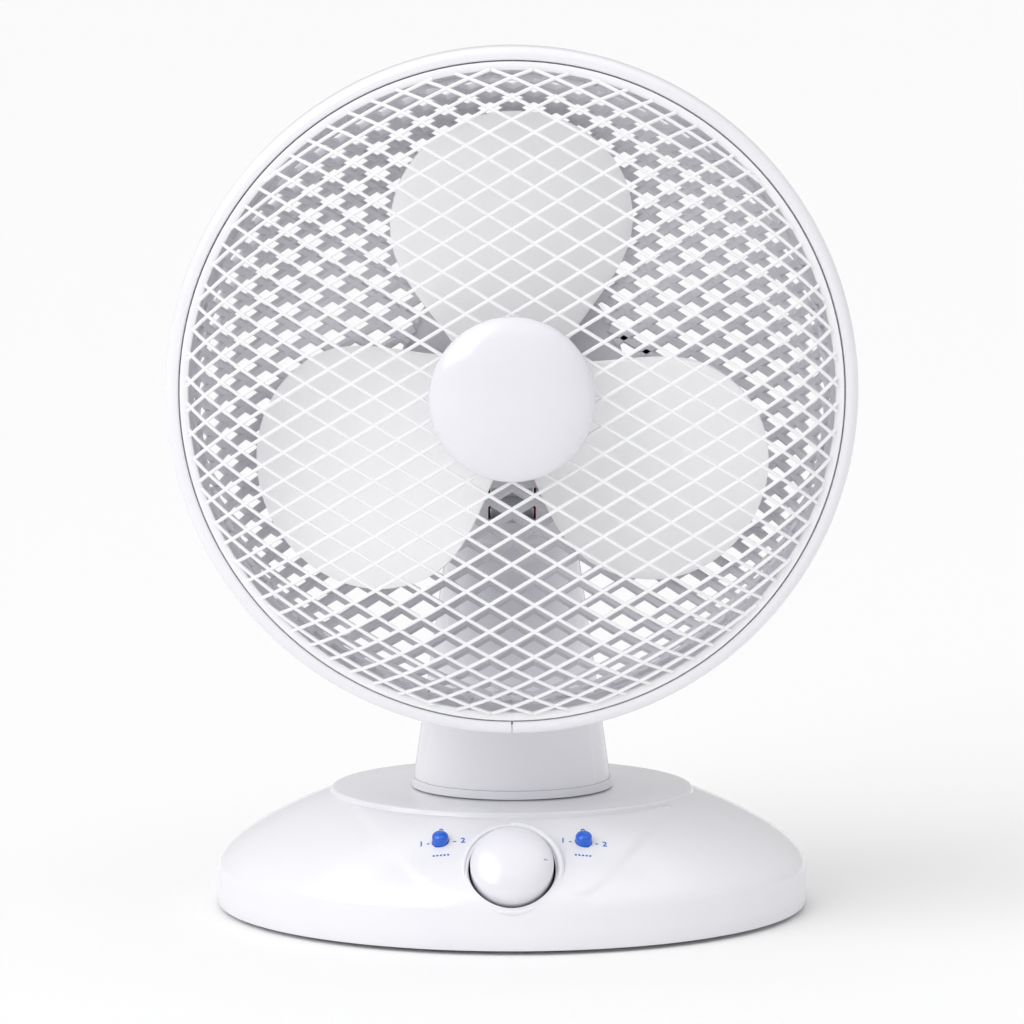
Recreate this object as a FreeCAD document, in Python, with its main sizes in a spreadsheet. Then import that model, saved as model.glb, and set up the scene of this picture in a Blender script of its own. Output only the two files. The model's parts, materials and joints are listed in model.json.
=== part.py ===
import FreeCAD, Part
import math
import os
import re
import Sketcher
from FreeCAD import Placement, Rotation, Vector

# Oscillating table fan. Millimetres, +Z up, and the fan blows towards -Y.
# The origin is on the floor, under the axis that the neck swivels about.
# "Ahead" is a distance along the fan's own axis, counted forward from the tail of the motor cover.
# "Out" and "in" along the knob's axis are counted from the face of the ring around the knob.

SIZES = {
    # base
    "base_half_width": 125.0,
    "base_half_depth": 98.5,
    "base_lift": 1.5,
    "skirt_top": 18.0,
    "base_wall": 2.6,
    "deck_half_width": 77.0,
    "deck_half_depth": 58.0,
    "deck_top": 51.0,
    "deck_step": 2.0,
    "plate_thickness": 2.5,
    "plate_gap": 0.4,
    "foot_radius": 9.0,
    "foot_x": 80.0,
    "foot_y": 56.0,
    "foot_stub_radius": 5.0,
    "foot_stub_height": 1.2,
    "base_screw_x": 96.0,
    "base_screw_y": 22.0,
    "base_boss_radius": 5.0,
    "ballast_y": -20.0,
    "screw_radius": 1.5,
    "screw_head_radius": 3.0,
    "screw_head_height": 1.6,
    "screw_gap": 0.03,
    "screw_bite": 12.0,
    "hole_gap": 0.3,
    # controls
    "knob_y": -85.0,
    "knob_z": 33.5,
    "knob_lean": 50.0,
    "knob_radius": 17.1,
    "knob_rise": 11.0,
    "knob_skirt": 7.0,
    "knob_gap": 0.8,
    "knob_wall": 2.2,
    "surround_radius": 21.5,
    "surround_depth": 12.0,
    "surround_floor": 3.0,
    "bead_radius": 1.7,
    "switch_shaft_radius": 3.0,
    "switch_side": 24.0,
    "switch_depth": 13.0,
    "button_x": 29.5,
    "button_y": -71.0,
    "button_z": 43.6,
    "button_lean": 27.0,
    "button_radius": 3.4,
    "button_rise": 2.4,
    "button_length": 6.0,
    "button_flange": 1.4,
    "button_travel": 1.2,
    "button_gap": 0.2,
    "board_thickness": 1.6,
    "tact_height": 3.0,
    "button_stack": 11.8,
    # swivel drive
    "swivel_hub_radius": 24.0,
    "swivel_gap": 0.6,
    "swivel_washer_height": 0.5,
    "cable_bore_radius": 9.0,
    "gear_module": 1.25,
    "sector_teeth": 48.0,
    "pinion_teeth": 12.0,
    "gear_height": 4.0,
    "gear_backlash": 0.3,
    "gearmotor_radius": 24.5,
    "gearmotor_height": 15.0,
    "gearmotor_top": 35.0,
    "gearmotor_offset": 9.5,
    "output_shaft_radius": 3.0,
    # neck
    "neck_foot_z": 55.0,
    "neck_foot_half_width": 41.5,
    "neck_foot_half_depth": 32.0,
    "neck_top_z": 158.0,
    "neck_top_half_width": 27.0,
    "neck_top_half_depth": 22.5,
    "neck_wall": 2.2,
    "post_width": 24.0,
    "post_depth": 18.0,
    "post_wall": 3.0,
    "neck_screw_low_x": 24.0,
    "neck_screw_low_z": 76.0,
    "neck_screw_high_x": 18.5,
    "neck_screw_high_z": 140.0,
    "tilt_z": 172.0,
    "tilt_ear_radius": 8.0,
    "tilt_ear_width": 4.5,
    "tilt_slot_half_width": 10.0,
    "tilt_bolt_radius": 2.5,
    "tilt_washer_height": 1.0,
    "tilt_side_gap": 0.1,
    # head
    "axis_z": 230.0,
    "head_tail_y": 58.0,
    "cover_radius": 44.0,
    "cover_wall": 2.4,
    "tail_round": 16.0,
    "rear_cover_length": 74.0,
    "cover_length": 96.0,
    "stator_radius": 38.0,
    "stator_start": 34.0,
    "stator_stack": 22.0,
    "rotor_radius": 17.0,
    "air_gap": 0.4,
    "shaft_radius": 4.0,
    "shaft_start": 13.0,
    "shaft_end": 137.0,
    "shaft_fit": 0.03,
    "bushing_radius": 8.0,
    "bushing_length": 10.0,
    "bracket_wall": 2.5,
    "bracket_reach": 14.0,
    "through_bolt_circle": 35.0,
    "through_bolt_radius": 1.5,
    "collar_radius": 14.0,
    "collar_length": 9.0,
    "thread_gap": 0.05,
    # guards
    "guard_radius": 140.0,
    "seam_radius": 134.4,
    "grille_radius": 128.0,
    "grille_wall": 2.2,
    "grille_bar": 2.0,
    "grille_pitch": 18.0,
    "grille_angle": 30.0,
    "rear_disc_radius": 46.0,
    "rear_flat_radius": 94.0,
    "rear_dish_round": 37.0,
    "rim_flange": 3.6,
    "front_rise": 14.5,
    "front_rim_height": 8.0,
    "hoop_lip": 3.5,
    "hoop_split": 0.8,
    "cap_radius": 33.4,
    "cap_edge": 3.0,
    "cap_rise": 9.5,
    "cap_wall": 1.8,
    # rotor
    "blade_hub_radius": 19.0,
    "blade_hub_start": 113.0,
    "blade_hub_length": 18.0,
    "blade_centre": 65.0,
    "blade_lobe_radius": 48.0,
    "blade_wall": 1.8,
    "blade_root_angle": 30.0,
    "blade_tip_angle": 15.0,
}

UPRIGHT = Rotation()
FORWARD = Rotation(Vector(1, 0, 0), 90)
BACKWARD = Rotation(Vector(1, 0, 0), -90)
SIDEWAYS = Rotation(Vector(0, 1, 0), 90)
DOWNWARD = Rotation(Vector(1, 0, 0), 180)
KNOB_TURN = Rotation(Vector(1, 0, 0), SIZES["knob_lean"])
BUTTON_TURN = Rotation(Vector(1, 0, 0), SIZES["button_lean"])

doc = FreeCAD.newDocument("TableFan")
sheet = doc.addObject("Spreadsheet::Sheet", "Sizes")
pieces = []


def fill_sheet():
    """Write every driving size into the sheet, with its name as the cell's alias."""
    for row, (name, size) in enumerate(SIZES.items(), start=1):
        sheet.set("A%d" % row, name)
        sheet.set("B%d" % row, str(size))
        sheet.setAlias("B%d" % row, name)
    doc.recompute()


def formula(text):
    """Point every size's name in a formula at the sheet."""
    def reference(word):
        return "Sizes." + word.group(0) if word.group(0) in SIZES else word.group(0)
    return re.sub(r"[a-z][a-z_]*", reference, str(text))


def value(text):
    """Work a formula out with the sheet's present sizes."""
    return float(sheet.evalExpression(str(text)))


def ahead(text):
    """The Y of a place that lies this far ahead of the motor cover's tail."""
    return "head_tail_y - (%s)" % text


def bind(item, **formulas):
    for name, text in formulas.items():
        item.setExpression(name, formula(text))


def put(item, at, turn=UPRIGHT):
    """Turn an object, and tie its place to the sheet."""
    item.Placement = Placement(Vector(*[value(text) for text in at]), turn)
    for axis, text in zip("xyz", at):
        item.setExpression("Placement.Base." + axis, formula(text))
    return item


def cylinder(name, radius, height, at, turn=UPRIGHT):
    item = doc.addObject("Part::Cylinder", name)
    bind(item, Radius=radius, Height=height)
    return put(item, at, turn)


def box(name, length, width, height, at, turn=UPRIGHT):
    """A box whose foot is centred on the place given."""
    item = doc.addObject("Part::Box", name)
    bind(item, Length=length, Width=width, Height=height)
    along = turn.multVec(Vector(-0.5, 0, 0))
    across = turn.multVec(Vector(0, -0.5, 0))
    corner = ["%s + %.6f * (%s) + %.6f * (%s)" % (at[axis], along[axis], length, across[axis], width)
              for axis in range(3)]
    return put(item, corner, turn)


def ellipse(name, half_width, half_depth, height):
    item = doc.addObject("Part::Ellipse", name)
    bind(item, MajorRadius=half_width, MinorRadius=half_depth)
    return put(item, ("0", "0", height))


def loft(name, sections, ruled):
    item = doc.addObject("Part::Loft", name)
    item.Sections = sections
    item.Solid = True
    item.Ruled = ruled
    return item


def fuse(name, shapes):
    item = doc.addObject("Part::MultiFuse", name)
    item.Shapes = shapes
    return item


def group(name, shapes):
    item = doc.addObject("Part::Compound", name)
    item.Links = shapes
    return item


def cut(name, base, tools):
    item = doc.addObject("Part::Cut", name)
    item.Base = base
    item.Tool = tools[0] if len(tools) == 1 else group(name + "_cutters", tools)
    return item


def common(name, base, tool):
    item = doc.addObject("Part::Common", name)
    item.Base = base
    item.Tool = tool
    return item


def piece(node, item):
    """Name a finished sub-part after its node."""
    item.Label = node
    pieces.append(item)
    return item


def shaped(node, shape):
    """A form worked out in code from the sheet's sizes. Its place is set afterwards, with put."""
    item = doc.addObject("Part::Feature", node + "_form")
    item.Shape = shape
    return item


def draw_outline(sketch, corners):
    """Draw a closed outline. A corner is (x, y), or (x, y, radius, side) when an arc leaves it."""
    places = [Vector(value(corner[0]), value(corner[1]), 0) for corner in corners]
    count = len(corners)
    for index, corner in enumerate(corners):
        start = places[index]
        end = places[(index + 1) % count]
        if len(corner) == 2:
            sketch.addGeometry(Part.LineSegment(start, end))
        else:
            sketch.addGeometry(arc_between(start, end, value(corner[2]), corner[3]))
    for index, corner in enumerate(corners):
        following = (index + 1) % count
        first_end = 2
        next_start = 1
        if len(corner) == 4 and corner[3] < 0:
            first_end = 1
        if len(corners[following]) == 4 and corners[following][3] < 0:
            next_start = 2
        sketch.addConstraint(Sketcher.Constraint("Coincident", index, first_end, following, next_start))
    for index, corner in enumerate(corners):
        end = 2 if len(corner) == 4 and corner[3] < 0 else 1
        for kind, text in (("DistanceX", corner[0]), ("DistanceY", corner[1])):
            number = sketch.addConstraint(Sketcher.Constraint(kind, -1, 1, index, end, value(text)))
            sketch.setExpression("Constraints[%d]" % number, formula(text))
        if len(corner) == 4:
            number = sketch.addConstraint(Sketcher.Constraint("Radius", index, value(corner[2])))
            sketch.setExpression("Constraints[%d]" % number, formula(corner[2]))


def arc_between(start, end, radius, side):
    """The short arc from start to end. Side 1 turns anticlockwise, and -1 clockwise."""
    middle = (start + end) * 0.5
    half = (end - start) * 0.5
    reach = math.sqrt(max(radius ** 2 - half.Length ** 2, 0))
    across = Vector(-half.y, half.x, 0).normalize()
    centre = middle + across * reach * side
    first = math.atan2(start.y - centre.y, start.x - centre.x)
    last = math.atan2(end.y - centre.y, end.x - centre.x)
    if side < 0:
        first, last = last, first
    return Part.ArcOfCircle(Part.Circle(centre, Vector(0, 0, 1), radius), first, last)


def turned(name, corners, at=("0", "0", "0"), turn=UPRIGHT):
    """A body turned on a lathe: its outline is given as (radius, height) corners."""
    body = doc.addObject("PartDesign::Body", name + "_body")
    sketch = body.newObject("Sketcher::SketchObject", name + "_outline")
    plane = [item for item in body.Origin.OriginFeatures if item.Role == "XZ_Plane"][0]
    sketch.AttachmentSupport = [(plane, "")]
    sketch.MapMode = "FlatFace"
    draw_outline(sketch, corners)
    lathe = body.newObject("PartDesign::Revolution", name + "_lathe")
    lathe.Profile = sketch
    lathe.ReferenceAxis = (sketch, ["V_Axis"])
    lathe.Angle = 360
    return put(body, at, turn)


def ring(name, inner, outer, start, end, at=("0", "0", "0"), turn=UPRIGHT):
    corners = [(inner, start), (outer, start), (outer, end), (inner, end)]
    return turned(name, corners, at, turn)


def screw(name, length, at, turn=UPRIGHT, shank="screw_radius", head="screw_head_radius"):
    """A screw with its head at the far end of its own axis: the shank starts at the place given."""
    corners = [("0", "0"), (shank, "0"), (shank, length), (head, length),
               (head, "%s + screw_head_height" % length), ("0", "%s + screw_head_height" % length)]
    return turned(name, corners, at, turn)


HEAD_AT = ("0", "head_tail_y", "axis_z")
KNOB_AT = ("0", "knob_y", "knob_z")
DOME_CURVE = 1.6
DOME_STEPS = (0.0, 0.2, 0.45, 0.7, 0.88, 1.0)
CORNERS = [(1, 1), (-1, 1), (-1, -1), (1, -1)]
PLATE_TOP = "(base_lift + plate_thickness)"
SECTOR_TOP = "(deck_top - base_wall - 0.9)"
FLANGE_FOOT = "(deck_top + swivel_gap)"
PINION_Y = "(gear_module * (sector_teeth + pinion_teeth) / 2)"
GEARMOTOR_Y = "(gear_module * (sector_teeth + pinion_teeth) / 2 + gearmotor_offset)"
STATOR_END = "(stator_start + stator_stack)"
GUARD_BACK = "(cover_length + 0.1)"
GUARD_RIM = "(cover_length + 0.1 + rear_dish_round + 2)"
FRONT_RIM = "(cover_length + 0.1 + rear_dish_round + 2 + rim_flange + 0.2)"
NOSE = "(cover_length + 0.1 + rear_dish_round + 2 + rim_flange + 0.2 + 7 + front_rise)"
RIM_OUTER = "(seam_radius + 2.4)"


def leaned(at, lean, out, aside="0", along="0"):
    """A place near a leaning axis: out along it, aside in X, and along the slope."""
    return ("(%s) + (%s)" % (at[0], aside),
            "%s - (%s) * sin(%s) + (%s) * cos(%s)" % (at[1], out, lean, along, lean),
            "%s + (%s) * cos(%s) + (%s) * sin(%s)" % (at[2], out, lean, along, lean))


def knob_place(out):
    return leaned(KNOB_AT, "knob_lean", out)


def button_place(side, out, along="0"):
    return leaned(("%d * button_x" % side, "button_y", "button_z"), "button_lean", out, "0", along)


def around(radius, count, first=0.0):
    """Places evenly spaced round the fan's axis, as (x, height) formulas."""
    places = []
    for index in range(count):
        angle = math.radians(first + 360.0 * index / count)
        places.append(("%.6f * (%s)" % (math.cos(angle), radius),
                       "axis_z + %.6f * (%s)" % (math.sin(angle), radius)))
    return places


def head_cylinders(name, radius, start, length, places):
    """The same cylinder at several places round the fan's axis."""
    return [cylinder("%s_%d" % (name, index), radius, length, (x, ahead(start), z), FORWARD)
            for index, (x, z) in enumerate(places)]


# ---------------------------------------------------------------- base

def base_form(name, inset, top):
    """The base's oval dome on its upright skirt, drawn in by an inset, up to a given top."""
    half_width = "(base_half_width - %s)" % inset
    half_depth = "(base_half_depth - %s)" % inset
    deck_width = "(deck_half_width - %s)" % inset
    deck_depth = "(deck_half_depth - %s)" % inset
    foot = ellipse(name + "_foot", half_width, half_depth, "base_lift")
    shoulder = ellipse(name + "_shoulder", half_width, half_depth, "skirt_top")
    skirt = loft(name + "_skirt", [foot, shoulder], True)
    sections = []
    for number, step in enumerate(DOME_STEPS):
        spread = 1.0 - step ** DOME_CURVE
        sections.append(ellipse(
            "%s_section_%d" % (name, number),
            "%s + (%s - %s) * %.6f" % (deck_width, half_width, deck_width, spread),
            "%s + (%s - %s) * %.6f" % (deck_depth, half_depth, deck_depth, spread),
            "skirt_top + (%s - skirt_top) * %.6f" % (top, step)))
    return fuse(name, [skirt, loft(name + "_dome", sections, False)])


def base_shell():
    """The upper casing: dome, raised deck, the knob's well and the bosses for the bottom screws."""
    outside = base_form("base_outside", "0", "(deck_top - deck_step)")
    inside = base_form("base_inside", "base_wall", "(deck_top - base_wall)")
    deck_low = ellipse("deck_low", "deck_half_width + 1.5", "deck_half_depth + 1.5", "deck_top - deck_step - 1")
    deck_high = ellipse("deck_high", "deck_half_width - 0.5", "deck_half_depth - 0.5", "deck_top")
    deck = loft("deck", [deck_low, deck_high], True)
    solid = fuse("base_solid", [outside, deck])
    bosses = []
    pilots = []
    for number, (x_side, y_side) in enumerate(CORNERS):
        place = ("%d * base_screw_x" % x_side, "%d * base_screw_y" % y_side, PLATE_TOP)
        bosses.append(cylinder("base_boss_%d" % number, "base_boss_radius", "deck_top", place))
        pilots.append(cylinder("base_pilot_%d" % number, "screw_radius + screw_gap", "screw_bite + 1", place))
    for side in (-1, 1):
        place = button_place(side, "0 - button_stack", "11")
        bosses.append(cylinder("board_post_%d" % (side + 1), "2.5", "deck_top", place, BUTTON_TURN))
    posts = common("base_posts", group("base_post_set", bosses), solid)
    well = cylinder("knob_well", "surround_radius", "surround_depth", knob_place("0 - surround_depth"), KNOB_TURN)
    bead = doc.addObject("Part::Torus", "knob_bead")
    bind(bead, Radius1="surround_radius - bead_radius", Radius2="bead_radius")
    put(bead, KNOB_AT, KNOB_TURN)
    hollow = cut("base_hollow", solid, [inside])
    casing = fuse("base_casing", [hollow, posts, well, bead])
    recess = cylinder("knob_recess", "knob_radius + knob_gap", "surround_depth + 20",
                      knob_place("surround_floor - surround_depth"), KNOB_TURN)
    shaft_hole = cylinder("knob_shaft_hole", "switch_shaft_radius + hole_gap", "surround_depth",
                          knob_place("0 - surround_depth - 1"), KNOB_TURN)
    swivel_hole = cylinder("swivel_hole", "swivel_hub_radius + hole_gap", "20", ("0", "0", "deck_top - 10"))
    gland_hole = cylinder("gland_hole", "5.05", "20", ("0", "base_half_depth - 10", "11"), BACKWARD)
    cutters = [recess, shaft_hole, swivel_hole, gland_hole] + pilots
    for side in (-1, 1):
        cutters.append(cylinder("button_hole_%d" % (side + 1), "button_radius + button_gap", "12",
                                button_place(side, "0 - 6"), BUTTON_TURN))
    piece("base_shell", cut("base_shell", casing, cutters))


def base_plate():
    """The bottom cover, with recesses for the feet and posts for the gearmotor."""
    inset = "(base_wall + plate_gap)"
    low = ellipse("plate_low", "base_half_width - " + inset, "base_half_depth - " + inset, "base_lift")
    high = ellipse("plate_high", "base_half_width - " + inset, "base_half_depth - " + inset, PLATE_TOP)
    plate = loft("plate_blank", [low, high], True)
    posts = []
    cutters = []
    for side in (-1, 1):
        place = ("%d * (gearmotor_radius + 5)" % side, GEARMOTOR_Y, "base_lift + 1")
        posts.append(cylinder("motor_post_%d" % (side + 1), "4", "gearmotor_top - 1.5 - base_lift - 1", place))
        place = ("%d * (gearmotor_radius + 5)" % side, GEARMOTOR_Y, "gearmotor_top - 1.5 - screw_bite")
        cutters.append(cylinder("motor_post_pilot_%d" % (side + 1), "screw_radius + screw_gap", "screw_bite + 1",
                                place))
        place = ("%d * 40" % side, "ballast_y", "base_lift - 1")
        cutters.append(cylinder("ballast_pilot_%d" % (side + 1), "screw_radius + screw_gap", "plate_thickness + 2",
                                place))
    for number, (x_side, y_side) in enumerate(CORNERS):
        foot_place = ("%d * foot_x" % x_side, "%d * foot_y" % y_side, "base_lift - 1")
        cutters.append(cylinder("foot_recess_%d" % number, "foot_stub_radius + 0.1", "foot_stub_height + 1",
                                foot_place))
        screw_place = ("%d * base_screw_x" % x_side, "%d * base_screw_y" % y_side, "base_lift - 1")
        cutters.append(cylinder("plate_hole_%d" % number, "screw_radius + hole_gap", "plate_thickness + 2",
                                screw_place))
        cutters.append(cylinder("plate_sink_%d" % number, "screw_head_radius + hole_gap", "screw_head_height + 1",
                                screw_place))
    piece("base_plate", cut("base_plate", fuse("plate_with_posts", [plate] + posts), cutters))


def rubber_feet():
    feet = []
    for number, (x_side, y_side) in enumerate(CORNERS):
        corners = [("0", "0"), ("foot_radius", "0"), ("foot_radius", "base_lift"), ("foot_stub_radius", "base_lift"),
                   ("foot_stub_radius", "base_lift + foot_stub_height"), ("0", "base_lift + foot_stub_height")]
        feet.append(turned("foot_%d" % number, corners, ("%d * foot_x" % x_side, "%d * foot_y" % y_side, "0")))
    piece("rubber_feet", group("rubber_feet", feet))


def base_screws():
    screws = []
    for number, (x_side, y_side) in enumerate(CORNERS):
        place = ("%d * base_screw_x" % x_side, "%d * base_screw_y" % y_side,
                 "base_lift + screw_head_height + screw_bite")
        screws.append(screw("base_screw_%d" % number, "screw_bite", place, DOWNWARD))
    piece("base_screws", group("base_screws", screws))


def ballast():
    """A steel weight that keeps the fan steady, and its two screws."""
    weight = box("ballast_blank", "100", "46", "6", ("0", "ballast_y", PLATE_TOP))
    holes = []
    screws = []
    for side in (-1, 1):
        holes.append(cylinder("ballast_hole_%d" % (side + 1), "screw_radius + hole_gap", "8",
                              ("%d * 40" % side, "ballast_y", "base_lift + plate_thickness - 1")))
        screws.append(screw("ballast_screw_%d" % (side + 1), "8", ("%d * 40" % side, "ballast_y",
                                                                   "base_lift + plate_thickness - 2")))
    piece("ballast_weight", cut("ballast_weight", weight, holes))
    piece("ballast_screws", group("ballast_screws", screws))


def cable_gland():
    """The strain bush in the rear of the skirt, empty: the lead itself is not part of the model."""
    corners = [("3.2", "0 - 5.3"), ("6.5", "0 - 5.3"), ("6.5", "0 - 3.3"), ("4.95", "0 - 3.3"),
               ("4.95", "0.1"), ("7", "0.1"), ("7", "2.1"), ("3.2", "2.1")]
    piece("cable_gland", turned("cable_gland", corners, ("0", "base_half_depth", "11"), BACKWARD))


def electrical_boxes():
    piece("run_capacitor", box("run_capacitor", "36", "12", "22", ("62", "24", PLATE_TOP)))
    piece("terminal_block", box("terminal_block", "30", "14", "12", ("-62", "24", PLATE_TOP)))


# ---------------------------------------------------------------- controls

def rotary_switch():
    body = box("switch_blank", "switch_side", "switch_side", "switch_depth",
               knob_place("0 - surround_depth - switch_depth - 0.05"), KNOB_TURN)
    bore = cylinder("switch_bore", "switch_shaft_radius + 0.06", "switch_depth - 3",
                    knob_place("3 - surround_depth - switch_depth"), KNOB_TURN)
    piece("rotary_switch", cut("rotary_switch", body, [bore]))
    piece("switch_shaft", cylinder("switch_shaft", "switch_shaft_radius",
                                   "surround_depth + switch_depth - 3.5 - knob_wall",
                                   knob_place("3.3 - surround_depth - switch_depth"), KNOB_TURN))


def control_knob():
    """A plain domed knob, hollow underneath, on a sleeve for the switch's shaft."""
    rise = "((knob_radius ^ 2 + knob_rise ^ 2) / (2 * knob_rise))"
    bore = "switch_shaft_radius + thread_gap"
    corners = [(bore, "0 - knob_skirt"), ("5.5", "0 - knob_skirt"), ("5.5", "0 - knob_wall"),
               ("knob_radius - knob_wall", "0 - knob_wall"), ("knob_radius - knob_wall", "0 - knob_skirt"),
               ("knob_radius", "0 - knob_skirt"), ("knob_radius", "0", rise, 1), ("0", "knob_rise"),
               ("0", "0 - knob_wall"), (bore, "0 - knob_wall")]
    piece("control_knob", turned("control_knob", corners, KNOB_AT, KNOB_TURN))


def push_button(node, side):
    """A small domed button: its flange under the shell keeps it in."""
    dome = "((button_radius ^ 2 + button_rise ^ 2) / (2 * button_rise))"
    corners = [("0", "0 - button_length - button_flange"), ("button_radius + 1.2", "0 - button_length - button_flange"),
               ("button_radius + 1.2", "0 - button_length"), ("button_radius", "0 - button_length"),
               ("button_radius", "0", dome, 1), ("0", "button_rise")]
    piece(node, turned(node, corners, button_place(side, "0"), BUTTON_TURN))


def button_boards():
    """Each button presses a tact switch on a small board of its own."""
    boards = []
    tacts = []
    for side in (-1, 1):
        place = button_place(side, "0 - button_stack - board_thickness", "5")
        boards.append(box("board_%d" % (side + 1), "12", "22", "board_thickness", place, BUTTON_TURN))
        place = button_place(side, "0.02 - button_stack")
        tacts.append(box("tact_%d" % (side + 1), "6", "6", "tact_height", place, BUTTON_TURN))
    piece("button_boards", group("button_boards", boards))
    piece("tact_switches", group("tact_switches", tacts))


# ---------------------------------------------------------------- swivel drive

def tooth(teeth, centre_angle, addendum):
    """One gear tooth as a flat outline: involute flanks, joined across the tip."""
    module = value("gear_module")
    pitch_radius = module * teeth / 2.0
    pressure = math.radians(20)
    base_radius = pitch_radius * math.cos(pressure)
    root = pitch_radius - 1.25 * module
    tip = pitch_radius + addendum * module
    half_tooth = (math.pi * module / 2.0 - value("gear_backlash")) / (2.0 * pitch_radius)
    half_tooth += math.tan(pressure) - pressure
    flank = []
    for step in range(6):
        radius = max(base_radius, root) + (tip - max(base_radius, root)) * step / 5.0
        roll = math.acos(min(1.0, base_radius / radius))
        flank.append((radius, half_tooth - (math.tan(roll) - roll)))
    flank.insert(0, (root - 0.5, flank[0][1]))
    outline = [(radius, centre_angle - half) for radius, half in flank]
    outline += [(radius, centre_angle + half) for radius, half in reversed(flank)]
    points = [Vector(radius * math.cos(angle), radius * math.sin(angle), 0) for radius, angle in outline]
    return Part.Face(Part.makePolygon(points + points[:1]))


def toothed_wheel(teeth, first, count, addendum, bore):
    """A disc to the root circle with some or all of its teeth, and a bore."""
    pitch_angle = 2.0 * math.pi / teeth
    height = Vector(0, 0, value("gear_height"))
    root = value("gear_module") * (teeth / 2.0 - 1.25)
    solids = [tooth(teeth, first + pitch_angle * index, addendum).extrude(height) for index in range(count)]
    disc = Part.makeCylinder(root, height.z)
    return disc.fuse(solids).cut(Part.makeCylinder(bore, height.z)).removeSplitter()


def drive_gears():
    """The toothed sector under the deck, and the gearmotor's pinion in mesh behind it."""
    sector_teeth = int(value("sector_teeth"))
    pinion_teeth = int(value("pinion_teeth"))
    foot = SECTOR_TOP + " - gear_height"
    sector_pitch = 2.0 * math.pi / sector_teeth
    reach = 8
    sector = put(shaped("sector_wheel", toothed_wheel(
        sector_teeth, math.pi / 2 - sector_pitch * reach, 2 * reach + 1, 0.8, value("cable_bore_radius"))),
        ("0", "0", foot))
    cutters = []
    screws = []
    for index in range(3):
        angle = math.radians(30 + 120 * index)
        place = ["%.3f" % (16.5 * math.cos(angle)), "%.3f" % (16.5 * math.sin(angle))]
        cutters.append(cylinder("sector_hole_%d" % index, "screw_radius + hole_gap", "gear_height + 2",
                                place + [SECTOR_TOP + " - gear_height - 1"]))
        cutters.append(cylinder("sector_sink_%d" % index, "screw_head_radius + hole_gap", "screw_head_height + 1",
                                place + [SECTOR_TOP + " - gear_height - 1"]))
        screws.append(screw("sector_screw_%d" % index, "8",
                            place + [SECTOR_TOP + " - gear_height + screw_head_height + 8"], DOWNWARD))
    piece("drive_sector", cut("drive_sector", sector, cutters))
    piece("sector_screws", group("sector_screws", screws))
    pinion = toothed_wheel(pinion_teeth, -math.pi / 2 + math.pi / pinion_teeth, pinion_teeth, 1.0,
                           value("output_shaft_radius + screw_gap"))
    piece("drive_pinion", put(shaped("drive_pinion", pinion), ("0", PINION_Y, foot)))


def gearmotor():
    """The self-reversing synchronous motor that swings the neck."""
    foot = "gearmotor_top - gearmotor_height"
    can = cylinder("gearmotor_can", "gearmotor_radius", "gearmotor_height", ("0", GEARMOTOR_Y, foot))
    ears = box("gearmotor_ears", "2 * gearmotor_radius + 18", "9", "1.5", ("0", GEARMOTOR_Y, "gearmotor_top - 1.5"))
    holes = [cylinder("output_bore", "output_shaft_radius + 0.05", "6", ("0", PINION_Y, "gearmotor_top - 5"))]
    screws = []
    for side in (-1, 1):
        place = ("%d * (gearmotor_radius + 5)" % side, GEARMOTOR_Y, "gearmotor_top - 3")
        holes.append(cylinder("ear_hole_%d" % (side + 1), "screw_radius + hole_gap", "5", place))
        place = ("%d * (gearmotor_radius + 5)" % side, GEARMOTOR_Y, "gearmotor_top - screw_bite")
        screws.append(screw("gearmotor_screw_%d" % (side + 1), "screw_bite", place))
    piece("gearmotor", cut("gearmotor", fuse("gearmotor_blank", [can, ears]), holes))
    piece("gearmotor_screws", group("gearmotor_screws", screws))
    piece("gearmotor_shaft", cylinder("gearmotor_shaft", "output_shaft_radius",
                                      SECTOR_TOP + " - gearmotor_top + 4", ("0", PINION_Y, "gearmotor_top - 4")))


def swivel_washer():
    piece("swivel_washer", ring("swivel_washer", "swivel_hub_radius + 1", "swivel_hub_radius + 7",
                                "deck_top", "deck_top + swivel_washer_height"))


# ---------------------------------------------------------------- neck

def turntable():
    """The oval foot of the neck, on a hub that turns in the deck."""
    low = ellipse("flange_low", "neck_foot_half_width + 1", "neck_foot_half_depth + 1", FLANGE_FOOT)
    high = ellipse("flange_high", "neck_foot_half_width + 1", "neck_foot_half_depth + 1", "neck_foot_z")
    flange = loft("turntable_flange", [low, high], True)
    hub = cylinder("turntable_hub", "swivel_hub_radius", "%s - %s + 1" % (FLANGE_FOOT, SECTOR_TOP), ("0", "0", SECTOR_TOP))
    cutters = [cylinder("turntable_bore", "cable_bore_radius", "20", ("0", "0", "deck_top - 10"))]
    for index in range(3):
        angle = math.radians(30 + 120 * index)
        cutters.append(cylinder("hub_pilot_%d" % index, "screw_radius + screw_gap", "8",
                                ("%.3f" % (16.5 * math.cos(angle)), "%.3f" % (16.5 * math.sin(angle)),
                                 SECTOR_TOP + " - 2")))
    for number, (x_side, y_side) in enumerate(CORNERS):
        cutters.append(cylinder("post_pilot_%d" % number, "screw_radius + screw_gap", "8",
                                ("%d * (post_width / 2 + 5.5)" % x_side, "%d * 8.5" % y_side, "neck_foot_z - 6")))
    piece("turntable", cut("turntable", fuse("turntable_blank", [flange, hub]), cutters))


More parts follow.
